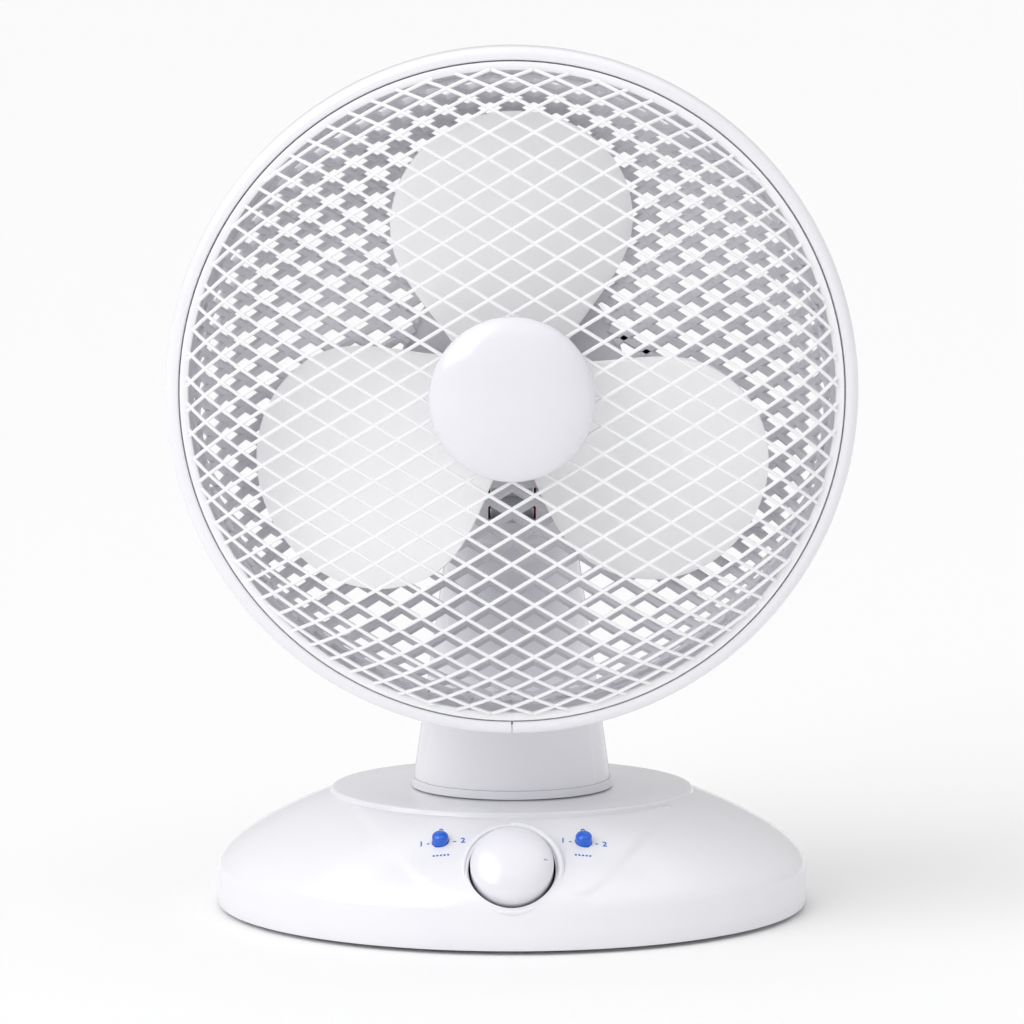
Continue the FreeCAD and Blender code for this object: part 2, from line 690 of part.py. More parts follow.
def neck_post():
    """The post inside the neck: its cap closes the shells and its two ears carry the head."""
    foot = box("post_foot", "post_width + 20", "26", "4", ("0", "0", "neck_foot_z"))
    tube = box("post_tube", "post_width", "post_depth", "neck_top_z - neck_foot_z + 1", ("0", "0", "neck_foot_z"))
    cap_low = ellipse("cap_low", "neck_top_half_width + 0.6", "neck_top_half_depth + 0.6", "neck_top_z")
    cap_mid = ellipse("cap_mid", "neck_top_half_width + 0.6", "neck_top_half_depth + 0.6", "neck_top_z + 2")
    cap_high = ellipse("cap_high", "neck_top_half_width - 4.5", "neck_top_half_depth - 4.5", "neck_top_z + 8")
    cap = fuse("post_cap", [loft("post_cap_edge", [cap_low, cap_mid], True),
                            loft("post_cap_top", [cap_mid, cap_high], True)])
    shapes = [foot, tube, cap]
    for side in (-1, 1):
        start = "%d * (tilt_slot_half_width + tilt_ear_width / 2) - tilt_ear_width / 2" % side
        middle = "%d * (tilt_slot_half_width + tilt_ear_width / 2)" % side
        shapes.append(box("ear_%d" % (side + 1), "tilt_ear_width", "2 * tilt_ear_radius", "tilt_z - neck_top_z - 2",
                          (middle, "0", "neck_top_z + 2")))
        shapes.append(cylinder("ear_round_%d" % (side + 1), "tilt_ear_radius", "tilt_ear_width",
                               (start, "0", "tilt_z"), SIDEWAYS))
    hollow = box("post_hollow", "post_width - 2 * post_wall", "post_depth - 2 * post_wall",
                 "neck_top_z - neck_foot_z - 2", ("0", "0", "neck_foot_z - 1"))
    slot = cylinder("tilt_slot", "tilt_ear_radius + 0.6", "2 * tilt_slot_half_width",
                    ("0 - tilt_slot_half_width", "0", "tilt_z"), SIDEWAYS)
    bolt_hole = cylinder("tilt_bolt_hole", "tilt_bolt_radius + 0.05", "60", ("-30", "0", "tilt_z"), SIDEWAYS)
    cutters = [hollow, slot, bolt_hole]
    screws = []
    for number, (x_side, y_side) in enumerate(CORNERS):
        x_text = "%d * (post_width / 2 + 5.5)" % x_side
        y_text = "%d * 8.5" % y_side
        cutters.append(cylinder("foot_hole_%d" % number, "screw_radius + hole_gap", "8",
                                (x_text, y_text, "neck_foot_z - 2")))
        screws.append(screw("post_screw_%d" % number, "9", (x_text, y_text, "neck_foot_z + 4 - 9")))
    piece("neck_post", cut("neck_post", fuse("post_blank", shapes), cutters))
    piece("post_screws", group("post_screws", screws))


def neck_form(name, inset):
    low = ellipse(name + "_low", "neck_foot_half_width - " + inset, "neck_foot_half_depth - " + inset, "neck_foot_z")
    high = ellipse(name + "_high", "neck_top_half_width - " + inset, "neck_top_half_depth - " + inset, "neck_top_z")
    return loft(name, [low, high], True)


def neck_screw_places():
    return [("%d * neck_screw_%s_x" % (side, level), "neck_screw_%s_z" % level)
            for level in ("low", "high") for side in (-1, 1)]


def neck_half(node, side):
    """Half of the neck's casing, with bosses that meet those of the other half."""
    half = box(node + "_side", "200", "100", "300", ("0", "%d * 50" % side, "0"))
    outside = common(node + "_half", neck_form(node + "_outside", "0"), half)
    wall = cut(node + "_wall", outside, [neck_form(node + "_inside", "neck_wall")])
    bosses = []
    cutters = []
    for number, (x_text, z_text) in enumerate(neck_screw_places()):
        tag = "%s_%d" % (node, number)
        bosses.append(cylinder(tag + "_boss", "3.5", "120", (x_text, "-60", z_text), BACKWARD))
        if side > 0:
            cutters.append(cylinder(tag + "_hole", "screw_radius + hole_gap", "60", (x_text, "-1", z_text), BACKWARD))
            cutters.append(cylinder(tag + "_sink", "screw_head_radius + 0.1", "60", (x_text, "10", z_text), BACKWARD))
        else:
            cutters.append(cylinder(tag + "_pilot", "screw_radius + screw_gap", "10", (x_text, "-9", z_text),
                                    BACKWARD))
    bars = common(node + "_bosses", group(node + "_boss_set", bosses), outside)
    blank = fuse(node + "_ribbed", [wall, bars])
    piece(node, cut(node, blank, cutters))


def neck_screws():
    screws = [screw("neck_screw_%d" % number, "17", (x_text, "-7", z_text), BACKWARD)
              for number, (x_text, z_text) in enumerate(neck_screw_places())]
    piece("neck_screws", group("neck_screws", screws))


def tilt_joint():
    """The bolt, nut and friction washers of the tilting joint."""
    end = "tilt_slot_half_width + tilt_ear_width"
    corners = [("0", "0 - (%s) - 5" % end), ("tilt_bolt_radius", "0 - (%s) - 5" % end),
               ("tilt_bolt_radius", end), ("4.5", end), ("4.5", end + " + 3"), ("0", end + " + 3")]
    piece("tilt_bolt", turned("tilt_bolt", corners, ("0", "0", "tilt_z"), SIDEWAYS))
    corners = [("tilt_bolt_radius + 0.03", "0 - (%s) - 4" % end), ("4.5", "0 - (%s) - 4" % end),
               ("4.5", "0 - (%s)" % end), ("tilt_bolt_radius + 0.03", "0 - (%s)" % end)]
    piece("tilt_nut", turned("tilt_nut", corners, ("0", "0", "tilt_z"), SIDEWAYS))
    washers = []
    for side, start in ((-1, "0 - tilt_slot_half_width"), (1, "tilt_slot_half_width - tilt_washer_height")):
        washers.append(ring("tilt_washer_%d" % (side + 1), "tilt_bolt_radius + 0.05", "6.5",
                            start, start + " + tilt_washer_height", ("0", "0", "tilt_z"), SIDEWAYS))
    piece("tilt_washers", group("tilt_washers", washers))


# ---------------------------------------------------------------- head

def tilt_lug():
    """The tongue under the motor cover that swings between the neck's ears."""
    half = "(tilt_slot_half_width - tilt_washer_height - 2 * tilt_side_gap)"
    top = "(tilt_z + 10)"
    round_end = cylinder("lug_round", "tilt_ear_radius", "2 * " + half, ("0 - " + half, "0", "tilt_z"), SIDEWAYS)
    web = box("lug_web", "2 * " + half, "14", "11", ("0", "0", "tilt_z"))
    flange = box("lug_flange", "28", "28", "3", ("0", "0", top))
    holes = [cylinder("lug_bore", "tilt_bolt_radius + 0.05", "40", ("-20", "0", "tilt_z"), SIDEWAYS)]
    screws = []
    for number, (x_side, y_side) in enumerate(CORNERS):
        x_text = "%d * 11" % x_side
        y_text = "%d * 10.5" % y_side
        holes.append(cylinder("lug_hole_%d" % number, "screw_radius + hole_gap", "5", (x_text, y_text, top + " - 1")))
        screws.append(screw("lug_screw_%d" % number, "6", (x_text, y_text, top + " + 6"), DOWNWARD))
    piece("tilt_lug", cut("tilt_lug", fuse("lug_blank", [round_end, web, flange]), holes))
    piece("lug_screws", group("lug_screws", screws))


def motor_rear_housing():
    """The domed tail of the motor cover, vented, with a pad underneath for the tilting lug."""
    inner = "(cover_radius - cover_wall)"
    corners = [("0", "0"), ("cover_radius - tail_round", "0", "tail_round", 1), ("cover_radius", "tail_round"),
               ("cover_radius", "rear_cover_length"), (inner, "rear_cover_length"),
               (inner, "tail_round", "tail_round - cover_wall", -1), ("cover_radius - tail_round", "cover_wall"),
               ("0", "cover_wall")]
    shell = turned("tail_shell", corners, HEAD_AT, FORWARD)
    pad = box("tail_pad", "30", "30", "axis_z - tilt_z - 13 - %s - 0.3" % inner, ("0", "0", "tilt_z + 13"))
    bosses = head_cylinders("tail_boss", "4.6", "1", "stator_start - bracket_reach - 1", around("24", 2))
    cutters = head_cylinders("tail_sink", "screw_head_radius + hole_gap", "0 - 1", "15", around("24", 2))
    cutters += head_cylinders("tail_hole", "screw_radius + hole_gap", "0", "30", around("24", 2))
    for x_side, y_side in CORNERS:
        cutters.append(cylinder("pad_pilot_%d%d" % (x_side + 1, y_side + 1), "screw_radius + screw_gap", "8",
                                ("%d * 11" % x_side, "%d * 10.5" % y_side, "tilt_z + 12")))
    for index in range(12):
        angle = 15.0 + 30.0 * index
        turn = Rotation(Vector(0, 1, 0), angle).multiply(FORWARD)
        slot_x = "%.6f * 19" % math.sin(math.radians(angle))
        slot_z = "axis_z + %.6f * 19" % math.cos(math.radians(angle))
        if index not in (2, 3, 8, 9):
            cutters.append(box("vent_%d" % index, "2.4", "14", "8", (slot_x, ahead("0 - 2"), slot_z), turn))
    piece("motor_rear_housing", cut("motor_rear_housing", fuse("tail_blank", [shell, pad] + bosses), cutters))
    screws = []
    for index, (x_text, z_text) in enumerate(around("24", 2)):
        screws.append(screw("housing_screw_%d" % index, "11", (x_text, ahead("14 + 11"), z_text), BACKWARD))
    piece("housing_screws", group("housing_screws", screws))


def motor_front_housing():
    """The front of the motor cover, with the threaded collar that holds the rear guard."""
    inner = "(cover_radius - cover_wall)"
    face = "cover_length"
    corners = [("shaft_radius + 2", face + " - cover_wall"), ("shaft_radius + 2", face + " + collar_length"),
               ("collar_radius", face + " + collar_length"), ("collar_radius", face),
               ("cover_radius - 8", face, "8", -1), ("cover_radius", face + " - 8"),
               ("cover_radius", "rear_cover_length"), (inner, "rear_cover_length"),
               (inner, face + " - 8", "8 - cover_wall", 1), ("cover_radius - 8", face + " - cover_wall")]
    shell = turned("front_shell", corners, HEAD_AT, FORWARD)
    places = around("27", 4, 45)
    plate = STATOR_END + " + bracket_reach"
    posts = head_cylinders("front_post", "4.6", plate, face + " - 1 - (%s)" % plate, places)
    cutters = head_cylinders("front_sink", "screw_head_radius + hole_gap", face + " - 4", "10", places)
    cutters += head_cylinders("front_hole", "screw_radius + hole_gap", "60", "60", places)
    piece("motor_front_housing", cut("motor_front_housing", fuse("front_blank", [shell] + posts), cutters))
    screws = [screw("cover_screw_%d" % index, "27", (x_text, ahead(face + " - 4 - 27"), z_text), FORWARD)
              for index, (x_text, z_text) in enumerate(places)]
    piece("front_housing_screws", group("front_housing_screws", screws))


def motor_bracket(node, face, side):
    """A cup that clamps the stator and seats one bushing. Side is 1 ahead of the stator, -1 behind it."""
    def away(distance):
        return "%s + %d * (%s)" % (face, side, distance)
    reach = "bracket_reach"
    corners = [("bushing_radius + 0.03", away(reach + " - 6")), ("bushing_radius + 4", away(reach + " - 6")),
               ("bushing_radius + 4", away(reach + " - bracket_wall")),
               ("stator_radius - 5.5", away(reach + " - bracket_wall")), ("stator_radius - 5.5", away("0")),
               ("stator_radius", away("0")), ("stator_radius", away(reach)), ("bushing_radius + 4", away(reach)),
               ("bushing_radius + 4", away(reach + " + 6")), ("bushing_radius + 0.03", away(reach + " + 6"))]
    cup = turned(node + "_cup", corners, HEAD_AT, FORWARD)
    bolt_gap = "hole_gap" if side > 0 else "screw_gap"
    cutters = head_cylinders(node + "_bolt_hole", "through_bolt_radius + " + bolt_gap, "10", "80",
                             around("through_bolt_circle", 4))
    if side > 0:
        cutters += head_cylinders(node + "_pilot", "screw_radius + screw_gap", "60", "20", around("27", 4, 45))
    else:
        cutters += head_cylinders(node + "_pilot", "screw_radius + screw_gap", "10", "16.5", around("24", 2))
    piece(node, cut(node, cup, cutters))


def motor_core():
    """Stator, windings, bolts and bushings."""
    places = around("26", 8, 22.5)
    bolt_places = around("through_bolt_circle", 4)
    inner = "rotor_radius + air_gap"
    laminations = ring("laminations", inner, "stator_radius", "stator_start", STATOR_END, HEAD_AT, FORWARD)
    holes = head_cylinders("winding_slot", "3.4", "30", "40", places)
    holes += head_cylinders("stator_bolt_hole", "through_bolt_radius + hole_gap", "30", "40", bolt_places)
    piece("stator_core", cut("stator_core", laminations, holes))
    rear_turns = ring("rear_turns", "20.5", "31.5", "stator_start - 6.5", "stator_start - 0.1", HEAD_AT, FORWARD)
    front_turns = ring("front_turns", "20.5", "31.5", STATOR_END + " + 0.1", STATOR_END + " + 6.5", HEAD_AT, FORWARD)
    bars = head_cylinders("winding_bar", "3.2", "stator_start - 4", "stator_stack + 8", places)
    piece("stator_windings", fuse("stator_windings", [rear_turns, front_turns] + bars))
    length = STATOR_END + " + bracket_reach - 18"
    bolts = [screw("through_bolt_%d" % index, length, (x_text, ahead("18"), z_text), FORWARD, "through_bolt_radius")
             for index, (x_text, z_text) in enumerate(bolt_places)]
    piece("through_bolts", group("through_bolts", bolts))
    for node, middle in (("rear_bushing", "stator_start - bracket_reach"),
                         ("front_bushing", STATOR_END + " + bracket_reach")):
        piece(node, ring(node, "shaft_radius + shaft_fit", "bushing_radius", middle + " - bushing_length / 2",
                         middle + " + bushing_length / 2", HEAD_AT, FORWARD))


def grille_bars(low, high):
    """Two crossing sets of thin upright slabs, as deep as the guard they are to cut out."""
    width = value("grille_bar")
    pitch = value("grille_pitch")
    reach = value("guard_radius")
    half_count = int(reach / pitch)
    sets = []
    for lean in (value("grille_angle"), -value("grille_angle")):
        slabs = []
        for index in range(-half_count, half_count + 1):
            slab = Part.makeBox(2 * reach, width, high - low, Vector(-reach, pitch * (index + 0.5) - width / 2, low))
            slab.rotate(Vector(0, 0, 0), Vector(0, 0, 1), lean)
            slabs.append(slab)
        sets.append(Part.makeCompound(slabs))
    return sets


def grille(name, corners, low, high):
    """The lattice that a guard's thin shell leaves between the two sets of slabs."""
    shell = turned(name + "_skin", corners)
    doc.recompute()
    first, second = [shell.Shape.common(slabs) for slabs in grille_bars(low, high)]
    lattice = shaped(name, first.fuse(second))
    return put(lattice, HEAD_AT, FORWARD)


def rear_guard():
    """The dished guard behind the blades, clamped to the motor cover by its middle disc."""
    back = GUARD_BACK
    wall = "grille_wall"
    outer = "(rear_flat_radius + rear_dish_round)"
    disc_edge = "rear_disc_radius"
    side = "(%s + rear_dish_round)" % back
    skin = [(disc_edge + " - 2", back), ("rear_flat_radius", back, "rear_dish_round", 1), (outer, side),
            (outer, GUARD_RIM), (outer + " - " + wall, GUARD_RIM),
            (outer + " - " + wall, side, "rear_dish_round - " + wall, -1),
            ("rear_flat_radius", back + " + " + wall), (disc_edge + " - 2", back + " + " + wall)]
    lattice = grille("rear_lattice", skin, value(back) - 5, value(GUARD_RIM) + 5)
    disc = ring("rear_disc", "collar_radius + hole_gap", disc_edge, back, back + " + " + wall, HEAD_AT, FORWARD)
    flange = [(outer + " - 2.2", GUARD_RIM + " - 4"), (outer, GUARD_RIM + " - 4"), (outer, GUARD_RIM),
              (RIM_OUTER, GUARD_RIM), (RIM_OUTER, GUARD_RIM + " + rim_flange"),
              (outer + " - 2.2", GUARD_RIM + " + rim_flange")]
    rim = turned("rear_rim", flange, HEAD_AT, FORWARD)
    piece("rear_guard", fuse("rear_guard", [disc, lattice, rim]))


def guard_nut():
    """The knurled plastic nut that clamps the rear guard on the motor cover's collar."""
    start = "(%s + grille_wall + 0.1)" % GUARD_BACK
    corners = [("collar_radius + thread_gap", start), ("24", start), ("24", start + " + 2.4"),
               ("21", start + " + 2.4"), ("21", start + " + 6.4"), ("collar_radius + thread_gap", start + " + 6.4")]
    blank = turned("guard_nut_blank", corners, HEAD_AT, FORWARD)
    notches = head_cylinders("nut_notch", "2", start + " + 2.4", "6", around("22", 10))
    piece("guard_nut", cut("guard_nut", blank, notches))


def front_guard():
    """The domed front guard: solid rim, diamond lattice, and a disc in the middle for the cap."""
    bend = "(((grille_radius - 30) ^ 2 + front_rise ^ 2) / (2 * front_rise))"
    edge = NOSE + " - front_rise"
    wall = "grille_wall"
    skin = [("30", NOSE + " - " + wall), ("grille_radius", edge + " - " + wall), ("grille_radius", edge, bend, 1),
            ("30", NOSE)]
    skin[0] = skin[0] + (bend, -1)
    lattice = grille("front_lattice", skin, value(NOSE) - 30, value(NOSE) + 10)
    disc = ring("front_disc", "0", "cap_radius - 0.4", NOSE + " - " + wall, NOSE, HEAD_AT, FORWARD)
    rim_face = "(%s + front_rim_height)" % FRONT_RIM
    inner = "grille_radius - 1"
    corners = [(inner, FRONT_RIM), (RIM_OUTER, FRONT_RIM), (RIM_OUTER, FRONT_RIM + " + rim_flange"),
               ("seam_radius - 0.2", FRONT_RIM + " + rim_flange"), ("seam_radius - 0.2", rim_face + " - 1.5", "1.5", 1),
               ("seam_radius - 1.7", rim_face), (inner, rim_face)]
    rim = turned("front_rim", corners, HEAD_AT, FORWARD)
    holes = head_cylinders("cap_hole", "2.1", NOSE + " - 8", "12", around("24", 3, 90))
    piece("front_guard", cut("front_guard", fuse("front_blank_guard", [disc, lattice, rim]), holes))


def hub_cap():
    """The plain domed cap on the nose of the front guard, held by three pegs."""
    foot = "(%s + 0.1)" % NOSE
    edge = "(%s + cap_edge)" % foot
    bend = "((cap_radius ^ 2 + cap_rise ^ 2) / (2 * cap_rise))"
    inner_radius = "(cap_radius - cap_wall)"
    inner_rise = "(cap_rise - cap_wall)"
    inner_bend = "((%s ^ 2 + %s ^ 2) / (2 * %s))" % (inner_radius, inner_rise, inner_rise)
    corners = [("cap_radius", foot), ("cap_radius", edge, bend, 1), ("0", edge + " + cap_rise"),
               ("0", "%s + %s" % (edge, inner_rise), inner_bend, -1), (inner_radius, edge), (inner_radius, foot)]
    shell = turned("cap_shell", corners, HEAD_AT, FORWARD)
    pegs = head_cylinders("cap_peg", "2", NOSE + " - 4", "cap_edge + cap_rise + 0.2", around("24", 3, 90))
    piece("hub_cap", fuse("hub_cap", [shell] + pegs))


def guard_ring():
    """The split hoop that clips the two guards together, drawn shut by one screw at its foot."""
    back = "(%s - hoop_lip - 0.2)" % GUARD_RIM
    front = "(%s + rim_flange + 0.2)" % FRONT_RIM
    face = "(%s + hoop_lip)" % front
    corners = [("rear_flat_radius + rear_dish_round + 0.5", back), ("guard_radius - 2", back, "2", 1),
               ("guard_radius", back + " + 2"), ("guard_radius", face + " - 2.5", "2.5", 1),
               ("guard_radius - 2.5", face), ("seam_radius + 0.2", face), ("seam_radius + 0.2", front),
               (RIM_OUTER + " + 0.3", front), (RIM_OUTER + " + 0.3", back + " + hoop_lip"),
               ("rear_flat_radius + rear_dish_round + 0.5", back + " + hoop_lip")]
    hoop = turned("hoop", corners, HEAD_AT, FORWARD)
    ears = []
    for side in (-1, 1):
        middle = "%d * (hoop_split / 2 + 2)" % side
        ears.append(box("hoop_ear_%d" % (side + 1), "4", "12", "6.5", (middle, ahead(back + " - 5"),
                                                                     "axis_z - guard_radius + 0.5")))
    gap = box("hoop_gap", "hoop_split", "60", "20", ("0", ahead(back), "axis_z - guard_radius - 2"))
    hole = cylinder("hoop_screw_hole", "screw_radius + screw_gap", "30",
                    ("-15", ahead(back + " - 6.5"), "axis_z - guard_radius + 3.7"), SIDEWAYS)
    piece("guard_ring", cut("guard_ring", fuse("hoop_with_ears", [hoop] + ears), [gap, hole]))
    place = ("0 - 7", ahead(back + " - 6.5"), "axis_z - guard_radius + 3.7")
    nut = ring("ring_nut", "screw_radius + screw_gap", "screw_head_radius", "0.4", "7 - hoop_split / 2 - 4",
               place, SIDEWAYS)
    piece("ring_screw", group("ring_screw", [screw("ring_screw_body", "7 + hoop_split / 2 + 4", place, SIDEWAYS), nut]))


# ---------------------------------------------------------------- rotor

def rotor_shaft():
    """Shaft, rotor core, fibre washers and the pin that drives the blades."""
    bore = "shaft_radius + shaft_fit"
    shaft = cylinder("shaft_bar", "shaft_radius", "shaft_end - shaft_start", ("0", ahead("shaft_start"), "axis_z"),
                     FORWARD)
    pin_place = ("-7", ahead("blade_hub_start + 1.6"), "axis_z")
    pin_hole = cylinder("pin_hole", "1.02", "14", pin_place, SIDEWAYS)
    piece("motor_shaft", cut("motor_shaft", shaft, [pin_hole]))
    piece("drive_pin", cylinder("drive_pin", "1", "14", pin_place, SIDEWAYS))
    piece("rotor_core", ring("rotor_core", bore, "rotor_radius", "stator_start - 1", STATOR_END + " + 1",
                             HEAD_AT, FORWARD))
    washers = [ring("rear_fibre_washer", bore, "6.5", "stator_start - 7", "stator_start - 6", HEAD_AT, FORWARD),
               ring("front_fibre_washer", bore, "6.5", STATOR_END + " + 6", STATOR_END + " + 7", HEAD_AT, FORWARD)]
    piece("shaft_washers", group("shaft_washers", washers))


def petal():
    """One blade: a round lobe with a tapering root, cut out of a thin twisted strip."""
    middle = value("blade_hub_start + blade_hub_length / 2")
    lobe = value("blade_lobe_radius")
    centre = value("blade_centre")
    half_wall = value("blade_wall") / 2.0
    root = value("blade_hub_radius") - 5.0
    tip = centre + lobe + 3.0
    strips = []
    for share in (0.0, 0.5, 1.0):
        radius = root + (tip - root) * share
        slope = value("blade_root_angle") + (value("blade_tip_angle") - value("blade_root_angle")) * share
        along = Vector(math.cos(math.radians(slope)), 0, -math.sin(math.radians(slope)))
        upward = Vector(math.sin(math.radians(slope)), 0, math.cos(math.radians(slope)))
        place = Vector(0, radius, middle)
        corners = [place + along * (lobe + 8) * side + upward * half_wall * level
                   for side, level in ((-1, -1), (1, -1), (1, 1), (-1, 1))]
        strips.append(Part.makePolygon(corners + corners[:1]))
    strip = Part.makeLoft(strips, True, False)
    shoulder = centre - lobe * 0.52
    shoulder_width = math.sqrt(lobe ** 2 - (centre - shoulder) ** 2)
    outline = [Vector(-24, root, 0), Vector(24, root, 0), Vector(shoulder_width, shoulder, 0),
               Vector(-shoulder_width, shoulder, 0)]
    root_prism = Part.Face(Part.makePolygon(outline + outline[:1])).extrude(Vector(0, 0, 200))
    lobe_prism = Part.makeCylinder(lobe, 200, Vector(0, centre, 0))
    return strip.common(lobe_prism.fuse(root_prism))


def fan_blades():
    """Three petals on one hub, moulded as a single piece, with a slot for the drive pin."""
    bore = "shaft_radius + shaft_fit"
    start = "blade_hub_start"
    end = "(blade_hub_start + blade_hub_length)"
    rim = "(blade_hub_radius - 2.2)"
    corners = [(bore, start), ("8", start), ("8", end + " - 2.5"), (rim, end + " - 2.5"), (rim, start),
               ("blade_hub_radius", start), ("blade_hub_radius", end), (bore, end)]
    hub = turned("blade_hub", corners, HEAD_AT, FORWARD)
    shapes = [hub]
    blade = petal()
    for index in range(3):
        turn = FORWARD.multiply(Rotation(Vector(0, 0, 1), 120.0 * index))
        shapes.append(put(shaped("petal_%d" % index, blade), HEAD_AT, turn))
    slot = box("pin_slot", "14.6", "2.3", "3", ("0", ahead("blade_hub_start"), "axis_z"), FORWARD)
    bore_cut = cylinder("blade_bore", bore, "60", ("0", ahead("blade_hub_start - 20"), "axis_z"), FORWARD)
    piece("fan_blades", cut("fan_blades", fuse("blades_blank", shapes), [slot, bore_cut]))
    foot = "(%s + 0.1)" % end
    corners = [(bore, foot), ("10", foot), ("10", foot + " + 5"), ("6", foot + " + 9"), ("0", foot + " + 9"),
               ("0", foot + " + 7"), (bore, foot + " + 7")]
    piece("blade_nut", turned("blade_nut", corners, HEAD_AT, FORWARD))


def build():
    fill_sheet()
    base_shell()
    base_plate()
    rubber_feet()
    base_screws()
    ballast()
    cable_gland()
    electrical_boxes()
    rotary_switch()
    control_knob()
    push_button("oscillation_button", -1)
    push_button("speed_button", 1)
    button_boards()
    drive_gears()
    gearmotor()
    swivel_washer()
    turntable()
    neck_post()
    neck_half("neck_front_shell", -1)
    neck_half("neck_rear_shell", 1)
    neck_screws()
    tilt_joint()
    tilt_lug()
    motor_rear_housing()
    motor_front_housing()
    motor_bracket("motor_rear_bracket", "stator_start", -1)
    motor_bracket("motor_front_bracket", STATOR_END, 1)
    motor_core()
    rear_guard()
    guard_nut()
    front_guard()
    hub_cap()
    guard_ring()
    rotor_shaft()
    fan_blades()
    doc.recompute()


def check():
    """Stop before writing anything if an object failed or a sub-part isn't sound."""
    for item in doc.Objects:
        if "Invalid" in item.State or "Error" in item.State:
            raise RuntimeError("%s failed: %s" % (item.Name, item.State))
    for item in pieces:
        if item.Shape.isNull() or not item.Shape.isValid() or not item.Shape.Solids:
            raise RuntimeError("%s has no sound shape" % item.Label)


def write():
    os.makedirs("parts", exist_ok=True)
    for item in pieces:
        item.Shape.exportStep("parts/%s.step" % item.Label)
        print("%-24s %2d solids %12.1f mm3" % (item.Label, len(item.Shape.Solids), item.Shape.Volume))


build()
check()
write()
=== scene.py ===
# %% [markdown]
# # A small oscillating table fan
# The fan is mostly white moulded plastic: a wide guard of crossed strands, three petal blades,
# a short oval neck and a low oval base with one knob and two small blue buttons. The solid model
# fixes every size and joint. Here the parts that are seen get finer shapes, and every part a finish.
# %% Load the fixed model
import bmesh
import bpy
import json
import math
from mathutils import Matrix, Vector

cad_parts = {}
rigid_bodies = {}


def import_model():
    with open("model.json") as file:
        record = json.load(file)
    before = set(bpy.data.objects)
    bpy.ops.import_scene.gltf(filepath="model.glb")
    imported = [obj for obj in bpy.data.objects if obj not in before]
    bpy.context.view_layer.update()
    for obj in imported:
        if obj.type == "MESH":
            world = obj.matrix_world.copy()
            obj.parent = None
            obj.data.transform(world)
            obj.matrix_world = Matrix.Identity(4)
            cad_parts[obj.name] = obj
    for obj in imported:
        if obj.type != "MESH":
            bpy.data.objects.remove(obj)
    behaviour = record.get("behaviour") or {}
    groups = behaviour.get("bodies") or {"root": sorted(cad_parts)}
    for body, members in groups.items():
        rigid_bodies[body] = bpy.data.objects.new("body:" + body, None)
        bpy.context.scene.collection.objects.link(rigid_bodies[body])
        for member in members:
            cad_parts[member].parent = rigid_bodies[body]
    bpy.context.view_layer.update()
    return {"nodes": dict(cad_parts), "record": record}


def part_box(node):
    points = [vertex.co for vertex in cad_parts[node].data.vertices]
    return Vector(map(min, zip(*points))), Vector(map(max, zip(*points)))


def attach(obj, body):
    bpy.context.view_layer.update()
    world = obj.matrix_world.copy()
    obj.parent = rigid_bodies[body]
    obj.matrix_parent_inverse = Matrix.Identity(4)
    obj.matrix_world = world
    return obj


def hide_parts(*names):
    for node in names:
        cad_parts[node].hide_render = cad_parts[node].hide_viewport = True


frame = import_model()
MM = 0.001

# %% [markdown]
# ## Where things are
# The fan's axis and the motor cover's tail come from the solid nodes' own boxes, and the knob's and buttons'
# places are given. A turned part is drawn upright, as height over
# radius, and then laid into place, so one matrix for each axis says where its parts go: the fan's
# axis points forward, and the knob and the buttons lean with the slope of the base.
# %% Axes of the fan, the knob and the buttons
cover_low, cover_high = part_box("motor_rear_housing")
cap_low, cap_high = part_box("hub_cap")
AXIS_Z = (cap_low.z + cap_high.z) / 2
TAIL_Y = cover_high.y
HEAD = Matrix.Translation((0, TAIL_Y, AXIS_Z)) @ Matrix.Rotation(math.radians(90), 4, "X")
KNOB_LEAN = math.radians(50)
BUTTON_LEAN = math.radians(27)
KNOB_Y, KNOB_Z = -85 * MM, 33.5 * MM
KNOB = Matrix.Translation((0, KNOB_Y, KNOB_Z)) @ Matrix.Rotation(KNOB_LEAN, 4, "X")
BUTTON_X, BUTTON_Y, BUTTON_Z = 29.5 * MM, -71 * MM, 43.6 * MM
print("fan axis at height", round(AXIS_Z / MM, 1), "mm, tail at", round(TAIL_Y / MM, 1), "mm")


def ahead(at):
    """The Y of a place that lies this many millimetres ahead of the motor cover's tail."""
    return TAIL_Y - at * MM


# %% [markdown]
# ## Working as by hand
# Each operator acts on everything that is selected, so nothing is left selected between steps.
# Vertices, edges and faces are then picked by where they are, which stays readable when sizes change.
# %% Helpers for picking and finishing
def clear():
    """Leave edit mode and deselect everything."""
    if bpy.context.object and bpy.context.object.mode != "OBJECT":
        bpy.ops.object.mode_set(mode="OBJECT")
    bpy.ops.object.select_all(action="DESELECT")


def only(piece):
    """Make this the one selected, active object."""
    clear()
    piece.select_set(True)
    bpy.context.view_layer.objects.active = piece


def named(name):
    """Name the primitive that was just added."""
    piece = bpy.context.object
    piece.name = piece.data.name = name
    return piece


def pick(piece, kind, test):
    """In edit mode, select the vertices, edges or faces whose middle passes the test."""
    bpy.ops.mesh.select_mode(type=kind)
    bpy.ops.mesh.select_all(action="DESELECT")
    shape = bmesh.from_edit_mesh(piece.data)
    count = 0
    for part in {"VERT": shape.verts, "EDGE": shape.edges, "FACE": shape.faces}[kind]:
        corners = [part] if kind == "VERT" else part.verts
        middle = sum((v.co for v in corners), Vector()) / len(corners)
        if test(middle):
            part.select_set(True)
            count += 1
    shape.select_flush_mode()
    bmesh.update_edit_mesh(piece.data)
    return count


def move_points(piece, rule):
    """Move every point of a piece by a rule from its place to its new place."""
    for point in piece.data.vertices:
        point.co = rule(point.co.copy())
    piece.data.update()


